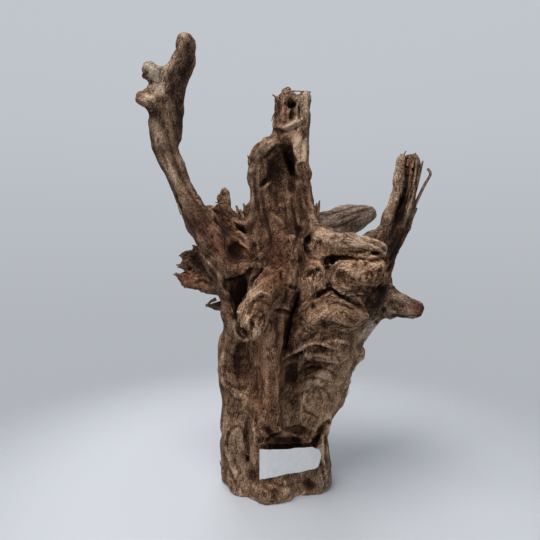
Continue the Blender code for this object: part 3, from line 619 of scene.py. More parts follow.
            (1.5, 1.8, [(357.4, 266.3), (360, 263.5), (363.7, 262), (370.7, 260.8)]),
            (1.5, 1.3, [(376, 265.5), (383.3, 266.5), (388, 268)])],
        "grooves": [(1.0, 2.0, [(315, 270.5), (320.2, 269)]),
            (1.2, 2.4, [(307, 275.5), (310, 274), (314, 273)]),
            (0.9, 2.0, [(366, 270), (367, 276), (370, 281)]),
            (0.9, 2.0, [(370, 268), (372, 275), (374, 282)]),
            (0.9, 1.8, [(375, 268), (377, 274), (379, 280)]),
            (0.9, 1.6, [(380, 269), (382, 274), (383, 278)]),
            (1.0, 2.2, [(365.8, 274.7), (370, 273.5), (374.9, 272.6)]),
            (0.8, 0.8, [(346, 269), (344.7, 279.6), (349.6, 286.7)]),
            (0.8, 0.8, [(351, 268), (349, 278), (353, 287), (357, 291)]),
            (0.8, 0.8, [(356, 270), (354, 279), (358, 287)]),
            (0.8, 0.8, [(340, 268), (338, 277), (341, 286)])],
        "holes": [(4.6, 3.4, [(338, 272), (347, 280), (357, 286)]),
            (3.4, 5.0, [(362, 297), (368, 291), (374, 286)]),
            (3.2, 9.0, [(325, 262), (330, 262), (334, 260)]), (2.4, 9.0, [(328, 266), (329, 270)]),
            (1.8, 4.0, [(364.4, 265.5), (368, 263)]), (1.8, 5.0, [(327, 286.5), (333, 284.5)])],
    },
    "lowLobe": {
        "lips": [(2.2, 0.8, 2.5, [(330, 321), (339, 323.5), (347, 326), (356, 325), (364, 320)])],
        "ridges": [(1.8, 1.2, [(303, 306), (297, 314.7), (292, 322.5)]),
            (1.3, 1.2, [(340, 300.5), (348, 304), (355, 306)])],
        "grooves": [(1.0, 1.6, [(341.2, 303.5), (348.2, 307), (353.2, 308.4)])],
        "holes": [(1.7, 5.0, [(313, 296.5), (318, 294), (323.5, 290.5)]),
            (1.5, 5.0, [(352, 303), (360.2, 305.8), (366.5, 309)]), (1.8, 4.0, [(312.5, 304), (314, 309)]),
            (1.5, 4.0, [(364, 310), (366, 313)]), (7.0, 12.0, [(381, 284), (377, 296), (371, 310)]),
            (3.5, 6.0, [(322, 326), (327, 323)])],
    },
    "rightRoots": {
        "lips": [
            (1.8, 1.0, 3.0, [(388.2, 238), (395.5, 222.4), (399, 206.7), (404, 188.5), (405.2, 170.3),
                (406.4, 156)])],
        "ridges": [(1.1, 1.4, [(412.4, 200.6), (409, 211), (406, 220)]),
            (1.4, 1.4, [(402, 186), (400, 194), (397, 203)])],
        "grooves": [(1.0, 3.0, [(406.4, 158.2), (405.5, 172), (404.5, 188.5)]),
            (0.9, 2.6, [(414.8, 162), (413, 176), (411.2, 191)]),
            (0.9, 2.4, [(418.5, 166.7), (416.5, 178), (414.8, 190)]),
            (0.8, 1.4, [(410, 158), (409, 172), (408, 188)]),
            (0.9, 2.0, [(408, 196), (405, 208), (402, 220)]),
            (1.0, 1.8, [(389, 316.3), (395, 316), (400, 316.5), (407, 317.5)]),
            (1.0, 1.4, [(372, 334), (382, 326), (394, 321)]), (0.9, 1.3, [(388, 302), (392, 302.5)]),
            (0.9, 1.3, [(399, 305), (404, 307)]), (0.9, 1.3, [(392, 308), (398, 310)]),
            (0.9, 0.9, [(326, 215), (340, 211), (356, 207), (370, 205)]),
            (0.9, 0.9, [(330, 222), (344, 217), (358, 212), (372, 208)]),
            (0.9, 0.9, [(334, 228), (346, 223), (360, 216)])],
        "holes": [(4.2, 6.0, [(404, 191), (402, 204), (399, 218), (396, 230)]),
            (1.8, 4.0, [(383, 308), (384, 312)]), (1.6, 4.0, [(376, 321), (378, 324)]),
            (1.4, 3.0, [(408.5, 296), (409.5, 297)])],
    },
}

# Colour on the same side: half width, strength of the pale, dark or red colour, path. Red is bare heartwood.
# Pale is light tan wood, and in places painted light where light falls, such as the crown's ledge and the
# left faces of the left root. Dark is painted shade in recesses, under lips and the hood, between the lobes
# and the right limb and on the shaded right sides of the roots and the prong, and it also draws some thin
# dark cracks.
stainsLightAndShade = {
    # light tan wood, and painted light on the crown's ledge and the left root's left faces
    "pale": [(5.5, 1.5, [(293, 130), (297, 140), (301, 154), (304, 166)]),
        (4.2, 1.8, [(283, 131), (289, 128), (295, 124), (301, 120)]),
        (3.0, 0.45, [(305, 98), (307, 108), (306, 122)]), (5.0, 0.5, [(270, 134), (266, 142), (260, 150)]),
        (2.2, 0.45, [(303, 150), (305, 170), (308, 190), (312, 212), (320, 226), (328, 233)]),
        (2.5, 0.6, [(251, 165), (250, 178), (250, 192), (249, 206)]),
        (1.8, 0.9, [(247, 311), (247, 320), (247, 328)]),
        (3.0, 0.5, [(262, 280), (252, 292), (244, 304), (240, 313)]),
        (5.0, 0.7, [(314, 226), (326, 235), (340, 239), (356, 244), (372, 249)]),
        (5.0, 0.5, [(300, 279), (310, 282), (322, 280)]),
        (13.0, 0.4, [(236, 432), (236, 450), (237, 470), (240, 496)]),
        (7.0, 0.35, [(268, 322), (268, 350), (268, 380), (267, 410)]),
        (6.0, 0.4, [(306, 358), (314, 356), (326, 356), (340, 359)]),
        (7.0, 0.7, [(343, 262), (347, 270), (351, 280), (354, 290)]),
        (6.0, 0.1, [(318, 300), (334, 308), (350, 313)]),
        (6.0, 1.35, [(147, 62), (150, 68), (155, 76), (157, 88), (150, 95), (146, 98)]),
        (4.0, 0.9, [(176, 54), (168, 66), (163, 80)]), (2.0, 0.9, [(181, 35), (186, 35)]),
        (3.0, 0.6, [(178, 50), (181, 44), (186, 40)]), (2.5, 0.5, [(185, 181), (188, 191)]),
        (3.0, 0.8, [(153, 120), (158, 138), (165, 156), (172, 174), (179, 190)]),
        (2.4, 0.6, [(195, 277), (199, 279)]),
        (1.6, 0.9, [(284.4, 359), (293, 353.5), (302, 349), (311, 345), (319, 343.5), (330, 347)]),
        (8.0, 0.3, [(330, 362), (322, 378), (314, 392)]),
        (4.0, 0.6, [(398, 160), (395, 178), (392, 198), (386, 220)]),
        (5.0, 0.15, [(392, 292), (402, 300), (410, 308)]),
        (4.5, 0.8, [(356, 342), (366, 332), (376, 325), (388, 319)]),
        (5.0, 0.8, [(364, 268), (372, 272), (380, 270)]),
        (2.4, 0.3, [(279, 372), (277, 388), (279, 404), (276, 420)])],
    # mostly painted shade in recesses and on shaded sides, with a few thin dark cracks
    "dark": [(9.0, 0.35, [(274, 158), (270, 170), (268, 184)]),
        (10.0, 0.55, [(272, 228), (272, 240), (274, 258), (276, 282), (277, 300)]),
        (5.0, 0.45, [(305, 160), (306, 180), (308, 200), (312, 218)]),
        (6.0, 0.3, [(376, 292), (390, 298), (404, 306)]), (9.0, 0.25, [(270, 190), (274, 205), (280, 222)]),
        (9.0, 0.35, [(192, 208), (208, 232), (226, 254)]), (5.0, 0.7, [(418, 304), (420, 311), (418, 318)]),
        (3.0, 0.7, [(285, 146), (288, 156), (292, 168), (297, 180)]),
        (6.0, 0.5, [(259, 195), (261, 215), (266, 235)]), (11.0, 0.3, [(240, 346), (238, 364), (241, 384)]),
        (10.0, 0.4, [(295, 362), (293, 378), (291, 398)]), (5.0, 0.5, [(205, 85), (190, 96), (178, 104)]),
        (7.0, 0.7, [(183, 62), (176, 80), (171, 100)]),
        (6.0, 0.5, [(178, 108), (180, 128), (186, 150), (196, 172), (208, 195)]),
        (8.0, 0.8, [(200, 184), (208, 195), (218, 212), (226, 228), (232, 240)]),
        (4.0, 0.6, [(185, 40), (188, 52), (186, 66)]), (6.0, 0.9, [(188, 254), (196, 260), (200, 268)]),
        (3.0, 0.8, [(141.5, 70), (142.5, 76)]), (4.0, 0.6, [(252, 470), (254, 480)]),
        (4.0, 0.7, [(306, 480), (312, 488)]), (6.0, 0.6, [(262, 440), (280, 443), (300, 441), (310, 436)]),
        (2.0, 0.8, [(331, 421), (324, 426), (318, 434), (313, 446)]),
        (1.8, 0.9, [(313, 234), (308, 240), (307, 247), (310, 253)]),
        (2.6, 0.9, [(238, 321), (240, 328), (246, 333), (250, 336)]),
        (0.9, 1.1, [(366, 269), (368.5, 274), (366.5, 278), (371, 282)]),
        (0.9, 1.1, [(371, 266), (373.5, 271), (371.5, 275), (376, 279)]),
        (0.9, 1.1, [(377, 266), (379.5, 270), (377.5, 273), (382, 276)]),
        (0.8, 1.0, [(219, 196), (223, 200.5), (227.5, 205)]),
        (1.6, 0.9, [(222, 191), (223.5, 193.5), (226, 195)]),
        (1.3, 1.0, [(325, 285), (333, 291), (343, 297), (352, 303), (362, 309)]),
        (1.2, 0.9, [(305, 238), (304.5, 245), (307, 252)]), (10.0, 1.2, [(384, 276), (379, 291), (371, 311)]),
        (8.0, 0.9, [(401, 203), (398, 226), (394, 248), (389, 272)]), (5.0, 0.4, [(408, 180), (404, 200)]),
        (7.0, 0.15, [(236, 284), (238, 298)])],
    "red": [(10.0, 0.85, [(194, 206), (200, 220), (214, 240), (232, 258), (240, 268)]),
        (9.0, 0.3, [(272, 196), (276, 212), (282, 230)]),
        (10.0, 0.5, [(272, 230), (273, 250), (275, 275), (277, 296)]),
        (10.0, 0.7, [(232, 278), (236, 290), (238, 304)]), (5.0, 0.4, [(304, 164), (306, 184), (310, 208)]),
        (5.0, 0.7, [(361, 204), (364, 208), (367, 213)]), (5.0, 0.5, [(236, 241), (246, 248), (254, 256)]),
        (4.0, 0.6, [(230, 276), (240, 272), (250, 266)]), (3.0, 0.5, [(224, 290), (230, 302), (232, 316)]),
        (4.0, 0.6, [(282, 430), (292, 434), (302, 436)]), (3.0, 0.8, [(369, 272), (375, 276)]),
        (7.0, 1.8, [(417, 299), (420, 305), (421, 311), (420, 317), (416, 323)]),
        (3.5, 1.2, [(141, 64), (141, 69), (142, 74), (143, 79)]), (2.4, 0.9, [(138, 99), (139, 102)]),
        (3.0, 0.6, [(144, 76), (147, 78)]), (4.0, 0.6, [(310, 263), (318, 262)]),
        (7.0, 0.7, [(284, 100), (283, 112), (282, 124)]), (4.0, 0.5, [(410, 160), (409, 180)]),
        (3.0, 0.9, [(187, 277), (191, 279)])],
}

# How a stroke of carving or colour ends: in half widths across, millimetres deep and shares of its length.
strokeFade = {"reach": 3, "layer": 12, "layerFade": 5, "ends": 0.25, "endHold": 0.35, "rim": 2.5}


def traceOnWood(path, skin):
    # follows a path of pixels over the wood's near side: pixel column, pixel row, distance
    traced = []
    for u, v, _ in smoothRoute([(u, v, 0.0) for u, v in path], woodPlan["traceSpacing"]):
        hit = skin.ray_cast(Vector(cameraPlace * mm), Vector(aimAt(u, v)).normalized())[0]
        if hit is not None:
            traced.append((u, v, (np.array(hit) / mm - cameraPlace) @ forward))
    return np.array(traced).reshape(-1, 3)


def alongPath(view, facing, traced, halfWidth):
    # the points near a traced path, how many half widths to its left they are, and how much it holds
    column, row, depth = view
    if len(traced) < 3:
        return np.empty(0, int), None, None
    scale = focal / np.median(traced[:, 2])
    reach = strokeFade["reach"] * halfWidth * scale
    near = np.flatnonzero((column > traced[:, 0].min() - reach) & (column < traced[:, 0].max() + reach)
                          & (row > traced[:, 1].min() - reach) & (row < traced[:, 1].max() + reach)
                          & (facing > 0))
    if not len(near):
        return near, None, None
    spot = np.stack([column[near], row[near]], axis=1)
    gaps = np.linalg.norm(spot[:, None] - traced[None, :, :2], axis=2)
    closest = gaps.argmin(axis=1)
    heading = np.gradient(traced[:, :2], axis=0)[closest]
    away = spot - traced[closest, :2]
    side = np.sign(away[:, 0] * heading[:, 1] - away[:, 1] * heading[:, 0])
    offset = gaps[np.arange(len(near)), closest] / scale / halfWidth * side
    behind = np.abs(depth[near] - traced[closest, 2])
    layer = np.clip((strokeFade["layer"] - behind) / strokeFade["layerFade"], 0, 1)
    ends = np.minimum(closest, len(traced) - 1 - closest) / max(1, strokeFade["ends"] * len(traced))
    taper = strokeFade["endHold"] + (1 - strokeFade["endHold"]) * np.clip(ends, 0, 1)
    return near, offset, layer * taper * np.clip(facing[near] * strokeFade["rim"], 0, 1)


def heldStrokes(strokes, view, facing):
    # each stroke that reaches the wood, with the points that it works on
    for stroke in strokes:
        near, offset, hold = alongPath(view, facing, traces[id(stroke)], stroke[0])
        if len(near):
            yield stroke, near, offset, hold


skin = rayTree(wood)
strokeLists = [strokes for region in carving.values() for strokes in region.values()] + list(stainsLightAndShade.values())
traces = {id(stroke): traceOnWood(stroke[-1], skin) for strokes in strokeLists for stroke in strokes}
report("paths traced on the wood")

# the shape of a lip's two sides, in half widths of its path
lipShape = {"standWidth": 1.2, "standFrom": -0.15, "dropTo": 0.1, "dropMiddle": 0.75, "dropWidth": 0.75}
remesh(wood, woodPlan["fineVoxel"])
places = readPoints(wood)
normals = unit(neighbourMean(wood, readNormals(wood), woodPlan["carvingRounds"]), tiny)
facing = facingCamera(places, normals)
view = seeInPicture(places)
rise = np.zeros(len(places))      # along the wood's own normal
sink = np.zeros(len(places))      # straight away from the camera
for region in carving.values():
    for kind, way in (("ridges", 1), ("grooves", -1)):
        for stroke, near, offset, hold in heldStrokes(region.get(kind, []), view, facing):
            rise[near] += way * stroke[1] * hold * np.exp(-offset ** 2)
    for stroke, near, offset, hold in heldStrokes(region.get("lips", []), view, facing):
        stand = stroke[1] * np.exp(-(np.maximum(offset, 0) / lipShape["standWidth"]) ** 2)
        drop = stroke[2] * np.exp(-((offset + lipShape["dropMiddle"]) / lipShape["dropWidth"]) ** 2)
        rise[near] += hold * (stand * (offset > lipShape["standFrom"])
                              - drop * (offset <= lipShape["dropTo"]))
    for stroke, near, offset, hold in heldStrokes(region.get("holes", []), view, facing):
        sink[near] = np.maximum(sink[near], stroke[1] * hold * np.exp(-offset ** 4))
rise *= woodPlan["strokeGain"]
writePoints(wood, places + rise[:, None] * normals + sink[:, None] * forward)
remesh(wood, woodPlan["fineVoxel"])
places = neighbourMean(wood, readPoints(wood), 1)
report(f"carved skin, {len(wood.data.polygons)} faces")

# Weathering all round, where the photograph doesn't reach too: furrows, drying cracks and lifted plates.
weathering = {
    "furrows": [(7.0, 24.0, 0.24), (3.8, 12.0, 0.22)],    # wavelength, length, height
    "furrowGain": 1.5, "furrowLevel": 0.8,
    "crackWavelength": 8.0, "crackLength": 36.0, "crackDepth": 1.6, "crackWidth": 0.22,
    "crackPatch": 18.0, "crackPatchGain": 2.5, "crackPatchLevel": 0.1,
    "plateWavelength": 12.0, "plateLength": 20.0, "plateHeight": 0.65, "plateSteps": 1.6, "plateRim": 0.22,
    "lumpWavelength": 16.0, "lumpHeight": 0.6,
    "pitWavelength": 4.0, "pitDepth": 0.55, "pitGain": 3, "pitLevel": 0.45, "pitWear": (2, 0.5),
    "smoothShare": 0.3,      # what unworn wood keeps of it all
    "backGain": 0.8,         # how much more there is where the carving doesn't reach
    "backTurn": (0.3, 2), "backRounds": 12, "normalRounds": 3,
}
directions, tints, _ = grainAt(places)
wear = tints[:, 0]
wander = np.stack([valueNoise(places, woodPlan["swirlWavelength"], draw) for draw in (11, 12, 13)], axis=1)
directions = unit(directions + woodPlan["grainSwirl"] * wear[:, None] * wander)
amount = weathering["smoothShare"] + (1 - weathering["smoothShare"]) * wear
turnLevel, turnSlope = weathering["backTurn"]
turnedAway = np.clip(turnLevel - turnSlope * facingCamera(places, readNormals(wood)), 0, 1)
amount *= 1 + weathering["backGain"] * neighbourMean(wood, turnedAway, weathering["backRounds"])
relief = np.zeros(len(places))
for draw, (wavelength, length, height) in enumerate(weathering["furrows"]):
    furrow = np.abs(fibres(places, directions, wavelength, length, 20 + draw)) - weathering["furrowLevel"]
    relief += height * weathering["furrowGain"] * furrow
relief += weathering["lumpHeight"] * valueNoise(places, weathering["lumpWavelength"], 30)
strands = fibres(places, directions, weathering["crackWavelength"], weathering["crackLength"], 31)
broken = weathering["crackPatchGain"] * valueNoise(places, weathering["crackPatch"], 32)
crack = (np.exp(-(strands / weathering["crackWidth"]) ** 2)
         * np.clip(broken - weathering["crackPatchLevel"], 0, 1))
relief -= weathering["crackDepth"] * crack
layered = weathering["plateSteps"] * fibres(places, directions, weathering["plateWavelength"],
                                            weathering["plateLength"], 33)
step = layered - np.floor(layered)
plates = np.floor(layered) + np.clip(step / weathering["plateRim"], 0, 1) - layered
relief += weathering["plateHeight"] * plates * wear
wearSlope, wearLevel = weathering["pitWear"]
pits = np.clip(valueNoise(places, weathering["pitWavelength"], 34) - weathering["pitLevel"], 0, 1)
pits *= np.clip(wearSlope * wear - wearLevel, 0, 1)
relief -= weathering["pitDepth"] * weathering["pitGain"] * pits
normals = unit(neighbourMean(wood, readNormals(wood), weathering["normalRounds"]), tiny)
places = places + (amount * relief)[:, None] * normals
foot = readPoints(wood)[:, 2] < woodPlan["footHeight"]
places[foot, 2] = 0.0
places[:, 2] = np.maximum(places[:, 2], 0.0)
report("weathered skin")

# The paper tag: blank, stuck on by its left half, bent round the wood and torn at its right end.
paperTag = {
    "left": -14.0, "span": 52.0, "height": 25, "front": -43.4, "setback": 13.0, "bend": 1.8,
    "thickness": 0.35,
    "top": [(0.0, 46.3), (0.2, 45.8), (0.45, 44.9), (0.55, 45.2), (0.85, 43.8), (0.9, 42.2), (0.95, 41.0),
            (1.0, 36.8)],
    "bottom": [(0.0, 21.0), (0.2, 22.4), (0.45, 24.3), (0.55, 23.9), (0.85, 24.5), (0.9, 24.6), (0.95, 25.6),
               (1.0, 32.2)],
    "sheet": 0.6, "clearance": 0.35, "margin": 1.0, "marginShare": 0.02, "seatReach": 16,
    "columns": 120, "rows": 56, "crease": 0.25, "creaseWidths": (9.0, 4.0), "creaseShare": 0.5,
    "tear": 0.35, "tearWidth": 2.2, "tornEnd": 0.98, "tornBack": 2, "topTear": 0.3,
    "lift": 0.15, "inset": 0.25,
}


def tagFront(x):
    # the paper's front face at a place across it
    share = np.clip((x - paperTag["left"]) / paperTag["span"], 0, 1)
    return paperTag["front"] + paperTag["setback"] * share ** paperTag["bend"]


def tagEdge(name, share):
    return np.interp(share, *zip(*paperTag[name]))


# the wood stays behind the tag
back = tagFront(places[:, 0]) + paperTag["sheet"] + paperTag["clearance"]
share = (places[:, 0] - paperTag["left"]) / paperTag["span"]
inside = (share > -paperTag["marginShare"]) & (share < 1 + paperTag["marginShare"])
inside &= (places[:, 2] > tagEdge("bottom", share) - paperTag["margin"])
inside &= (places[:, 2] < tagEdge("top", share) + paperTag["margin"])
covered = inside & (places[:, 1] < back) & (places[:, 1] > back - paperTag["seatReach"])
places[covered, 1] = back[covered]
writePoints(wood, places)
applyModifier(wood, "DECIMATE", ratio=min(1.0, woodPlan["triangles"] / (2 * len(wood.data.polygons))),
              use_collapse_triangulate=True)
bpy.ops.object.shade_smooth()
report(f"thinned skin, {len(wood.data.polygons)} triangles")

# Splinters and slivers join the thinned skin, each with its root sunk in it.
places = readPoints(wood)
normals = readNormals(wood)
directions, tints, _ = grainAt(places)
bulge = dots(places - neighbourMean(wood, places, slivers["bulgeRounds"]), normals)
onTag = ((places[:, 1] < slivers["tagFront"]) & (places[:, 2] > slivers["tagLow"])
         & (places[:, 2] < slivers["tagHigh"]))
chance = np.clip(tints[:, 0] - slivers["leastWear"], 0, 1) * np.clip(bulge - slivers["leastBulge"], 0, 1)
chance = chance * (places[:, 2] > slivers["lowest"]) * ~onTag
draw = np.random.default_rng(slivers["seed"])
strands = []
for thick, thin, y, path in splinters.values():
    taper = np.linspace(thick, thin, len(path))
    strands.append([(*placeAt(u, v, y), size) for (u, v), size in zip(path, taper)])
skin = rayTree(wood)
for k in draw.choice(len(places), slivers["count"], replace=False, p=chance / chance.sum()):
    length = draw.uniform(*slivers["length"])
    size = draw.uniform(*slivers["thickness"])
    lift = draw.uniform(*slivers["lift"])
    way = directions[k] * draw.choice((-1, 1), p=slivers["downOrUp"]) * length
    way -= normals[k] * (way @ normals[k])
    root = places[k] - normals[k] * size * slivers["sunk"]
    tip = root + way + normals[k] * (lift * length + size)
    if skin.find_nearest(Vector(tip * mm))[3] / mm > slivers["farthest"]:
        continue
    between = root + 0.5 * way + normals[k] * (slivers["middleLift"] * lift * length + size)
    strands.append([(*root, size), (*between, size * slivers["middleSize"]), (*tip, woodPlan["leastStrand"])])
wood = joinPieces([wood, strandObject("splinters", strands, 4)], wood.name)
bpy.ops.object.shade_smooth()
report(f"{len(strands)} splinters and slivers")

# What the materials read from the wood: hollows, edges, weathering and the place along the grain. The hollows
# and edges drive painted shade and painted highlights.
places = readPoints(wood)
normals = readNormals(wood)
skin = rayTree(wood)
shading = {"rays": 20, "steepest": 0.97, "grazing": 0.05, "reach": 30.0, "lift": 0.5, "wallShare": 0.6,
           "edgeRounds": 6, "edgeHeight": 0.6}
golden = math.pi * (3 - math.sqrt(5))
sphere = [Vector((math.sqrt(1 - z * z) * math.cos(golden * k),
                  math.sqrt(1 - z * z) * math.sin(golden * k), z))
          for k, z in enumerate(np.linspace(shading["steepest"], -shading["steepest"], 2 * shading["rays"]))]
# How open each point is to the sky, by rays. The finish paints shade into hollows from it.
openness = np.zeros(len(places))
for k, (place, normal) in enumerate(zip(places, normals)):
    normal = Vector(normal)
    start = Vector(place * mm) + normal * shading["lift"] * mm
    clear = total = 0.0
    for way in sphere:
        weight = way.dot(normal)
        if weight > shading["grazing"]:
            total += weight
            distance = skin.ray_cast(start, way, shading["reach"] * mm)[3]
            clear += weight * (1.0 if distance is None
                               else distance / mm / shading["reach"] * shading["wallShare"])
    openness[k] = clear / total
report("hollows measured")

# How far each point stands out from its neighbours. The finish paints highlights on crests and shade in
# creases from it.
edge = dots(places - neighbourMean(wood, places, shading["edgeRounds"]), normals)
edge = np.clip(edge / shading["edgeHeight"], -1, 1)
_, tints, grainPlace = grainAt(places)
facing = facingCamera(places, normals)
view = seeInPicture(places)
stainedLitAndShaded = {name: np.zeros(len(places)) for name in stainsLightAndShade}
# Carved ridges also get painted highlights in pale, and grooves and holes get painted shade in dark.
stainLightAndShadePlan = {"margin": 0.4, "carvedMargin": 0.3, "paleShare": 0.75, "mostRed": 1.2, "mostPale": 1.8,
             "carved": (("ridges", "pale", 0.35), ("grooves", "dark", 0.45), ("holes", "dark", 0.7))}


def paintStainLightAndShade(name, strokes, margin, strength=None):
    # colour, painted light and painted shade reach a little further round the wood than the carving does, by
    # the margin
    for stroke, near, offset, hold in heldStrokes(strokes, view, facing + margin):
        colour = (strength or stroke[1]) * hold * np.exp(-offset ** 2)
        stainedLitAndShaded[name][near] = np.maximum(stainedLitAndShaded[name][near], colour)


for name, strokes in stainsLightAndShade.items():
    paintStainLightAndShade(name, strokes, stainLightAndShadePlan["margin"])
# painted highlights along carved ridges, painted shade along grooves and holes
for region in carving.values():
    for kind, name, strength in stainLightAndShadePlan["carved"]:
        paintStainLightAndShade(name, region.get(kind, []), stainLightAndShadePlan["carvedMargin"], strength)

tone = {name: tints[:, k] for k, name in enumerate(tintNames)}
# openness and edge carry painted shade and highlights to the finish; dark and pale carry painted shade and
# light along with the wood's own tones
woodValues = {
    "openness": neighbourMean(wood, openness, 1), "edge": neighbourMean(wood, edge, 1),
    "grainPlace": grainPlace, "grey": tone["grey"], "wear": tone["wear"], "dark": stainedLitAndShaded["dark"],
    "red": np.clip(tone["red"] + stainedLitAndShaded["red"], 0, stainLightAndShadePlan["mostRed"]),
    "pale": np.clip(stainLightAndShadePlan["paleShare"] * tone["pale"] + stainedLitAndShaded["pale"], 0, stainLightAndShadePlan["mostPale"]),
}
for name, values in woodValues.items():
    isVector = values.ndim == 2
    attribute = wood.data.attributes.new(name, "FLOAT_VECTOR" if isVector else "FLOAT", "POINT")
    attribute.data.foreach_set("vector" if isVector else "value", values.astype(np.float32).ravel())
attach(wood, "root")
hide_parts("driftwood")
report("wood finished")

# The tag's own sheet: a grid in the tag's outline, creased and torn, with a back face.
bpy.ops.object.select_all(action="DESELECT")
bpy.ops.mesh.primitive_grid_add(x_subdivisions=paperTag["columns"], y_subdivisions=paperTag["rows"], size=2)
tag = bpy.context.active_object
tag.name = "paperTagSheet"
grid = readPoints(tag) * mm
across = (grid[:, 0] + 1) / 2
height = (grid[:, 1] + 1) / 2
flatPlace = np.stack([across * paperTag["span"], np.zeros(len(across)), height * paperTag["height"]], axis=1)
ragged = paperTag["tear"] * valueNoise(flatPlace, paperTag["tearWidth"], 51)
bottom = tagEdge("bottom", across) + ragged * across
top = tagEdge("top", across) - ragged * (paperTag["topTear"] + across)
torn = np.abs(ragged) * (across > paperTag["tornEnd"]) * paperTag["tornBack"]
x = paperTag["left"] + paperTag["span"] * across - torn
wide, narrow = (valueNoise(flatPlace, width, 52 + k) for k, width in enumerate(paperTag["creaseWidths"]))
crease = paperTag["crease"] * (wide + paperTag["creaseShare"] * narrow - 1)
y = tagFront(x) + paperTag["lift"] - crease * 0.5 - paperTag["inset"]
writePoints(tag, np.stack([x, y, bottom + (top - bottom) * height], axis=1))
editMesh(tag, bpy.ops.mesh.normals_make_consistent, inside=False)
applyModifier(tag, "SOLIDIFY", thickness=paperTag["thickness"] * mm, offset=0)
bpy.ops.object.shade_smooth()
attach(tag, "root")
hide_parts("blank_label")
report("paper tag")

# Finishes. Shared effects are node groups, placed in each material with its own values.


def newGroup(name, inputs, outputs):
    # an input that starts as None is a vector, and the rest are numbers
    group = bpy.data.node_groups.new(name, "ShaderNodeTree")
    for label, start in inputs.items():
        kind = "NodeSocketVector" if start is None else "NodeSocketFloat"
        socket = group.interface.new_socket(label, in_out="INPUT", socket_type=kind)
        if start is not None:
            socket.default_value = start
    for label, kind in outputs.items():
        group.interface.new_socket(label, in_out="OUTPUT", socket_type=kind)
    return group, group.nodes.new("NodeGroupInput").outputs, group.nodes.new("NodeGroupOutput").inputs


def wire(tree, target, source):
    # joins an output, or sets a number or a colour
    if isinstance(source, bpy.types.NodeSocket):
        tree.links.new(source, target)
    else:
        target.default_value = source


def newNode(tree, kind, *values, **settings):
    # a node with its settings, and its first inputs wired in turn
    node = tree.nodes.new("ShaderNode" + kind)
    for name, value in settings.items():
        setattr(node, name, value)
    for socket, value in zip(node.inputs, values):
        wire(tree, socket, value)
    return node


def mathNode(tree, operation, *values):
    return newNode(tree, "Math", *values, operation=operation).outputs[0]


def plus(tree, first, second):
    return mathNode(tree, "ADD", first, second)


def times(tree, first, second):
    return mathNode(tree, "MULTIPLY", first, second)


def noiseNode(tree, place, scale, detail, roughness=0.5):
    node = newNode(tree, "TexNoise")
    for name, value in (("Vector", place), ("Scale", scale), ("Detail", detail), ("Roughness", roughness)):
        wire(tree, node.inputs[name], value)
    return node.outputs["Fac"]


def rangeNode(tree, value, low, high, toLow=0.0, toHigh=1.0, kind="SMOOTHSTEP"):
    return newNode(tree, "MapRange", value, low, high, toLow, toHigh, interpolation_type=kind).outputs[0]


def mixColour(tree, kind, factor, first, second):
    node = newNode(tree, "Mix", factor, data_type="RGBA", blend_type=kind, clamp_factor=True)
    colours = [socket for socket in node.inputs if socket.type == "RGBA"]
    wire(tree, colours[0], first)
    wire(tree, colours[1], second)
    return [socket for socket in node.outputs if socket.type == "RGBA"][0]


def rampNode(tree, value, stops):
    node = newNode(tree, "ValToRGB", value)
    ramp = node.color_ramp
    while len(ramp.elements) < len(stops):
        ramp.elements.new(0.5)
    for element, (position, colour) in zip(ramp.elements, stops):
        element.position = position
        element.color = (*colour, 1)
    return node.outputs[0]


def attributeNode(tree, name, output="Fac"):
    return newNode(tree, "Attribute", attribute_name=name).outputs[output]


def objectPlace(tree):
    return newNode(tree, "TexCoord").outputs["Object"]


# fibres: streaks along the grain, fine cracks between them, and their height
# The noise scales are per millimetre along the grain, and per metre for crumbs, grit and flecks.
fibreLook = {
    "bend": (0.05, 9.0), "broad": (0.22, 0.25), "fine": (0.8, 0.75),      # scale and share
    "crumbScale": 540.0, "crumbShare": (0.3, 0.75), "contrast": (0.36, 0.64),
    "gritScale": 1000.0, "gritRange": (0.35, 0.65), "grit": 0.36, "worn": (0.2, 0.8),
    "threadScale": 0.42, "gap": (0.04, 0.012), "patchScale": 0.07, "patch": (0.42, 0.56), "leastCrack": 0.45,
    "fleckScale": 300.0, "fleck": (0.63, 0.7), "fleckDepth": 0.42, "crackDepth": 0.6,
}
grainGroup, given, put = newGroup(
    "woodGrain", {"Place": None, "Position": None, "Width": 1.0, "Stretch": 0.1, "Wear": 0.5},
    {"Streaks": "NodeSocketFloat", "Cracks": "NodeSocketFloat", "Height": "NodeSocketFloat"})
tree = grainGroup
split = newNode(tree, "SeparateXYZ", given["Place"]).outputs
stretched = newNode(tree, "CombineXYZ", mathNode(tree, "DIVIDE", split[0], given["Width"]),
                    mathNode(tree, "DIVIDE", split[1], given["Width"]),
                    times(tree, split[2], given["Stretch"]))
bend = newNode(tree, "VectorMath", (1.0, 0.7, 0.0), operation="SCALE")
bendScale, bendAmount = fibreLook["bend"]
wire(tree, bend.inputs["Scale"], times(tree, noiseNode(tree, given["Place"], bendScale, 2.0), bendAmount))
bent = newNode(tree, "VectorMath", stretched.outputs[0], bend.outputs[0], operation="ADD").outputs[0]
broadScale, broadShare = fibreLook["broad"]
fineScale, fineShare = fibreLook["fine"]
fibre = plus(tree, times(tree, noiseNode(tree, bent, broadScale, 2.0), broadShare),
             times(tree, noiseNode(tree, bent, fineScale, 2.0, 0.7), fineShare))
crumb = noiseNode(tree, given["Position"], fibreLook["crumbScale"], 3.0, 0.75)
share = rangeNode(tree, given["Wear"], *fibreLook["worn"], *fibreLook["crumbShare"])
streaks = plus(tree, fibre, times(tree, share, mathNode(tree, "SUBTRACT", crumb, fibre)))
contrast = rangeNode(tree, streaks, *fibreLook["contrast"], kind="LINEAR")
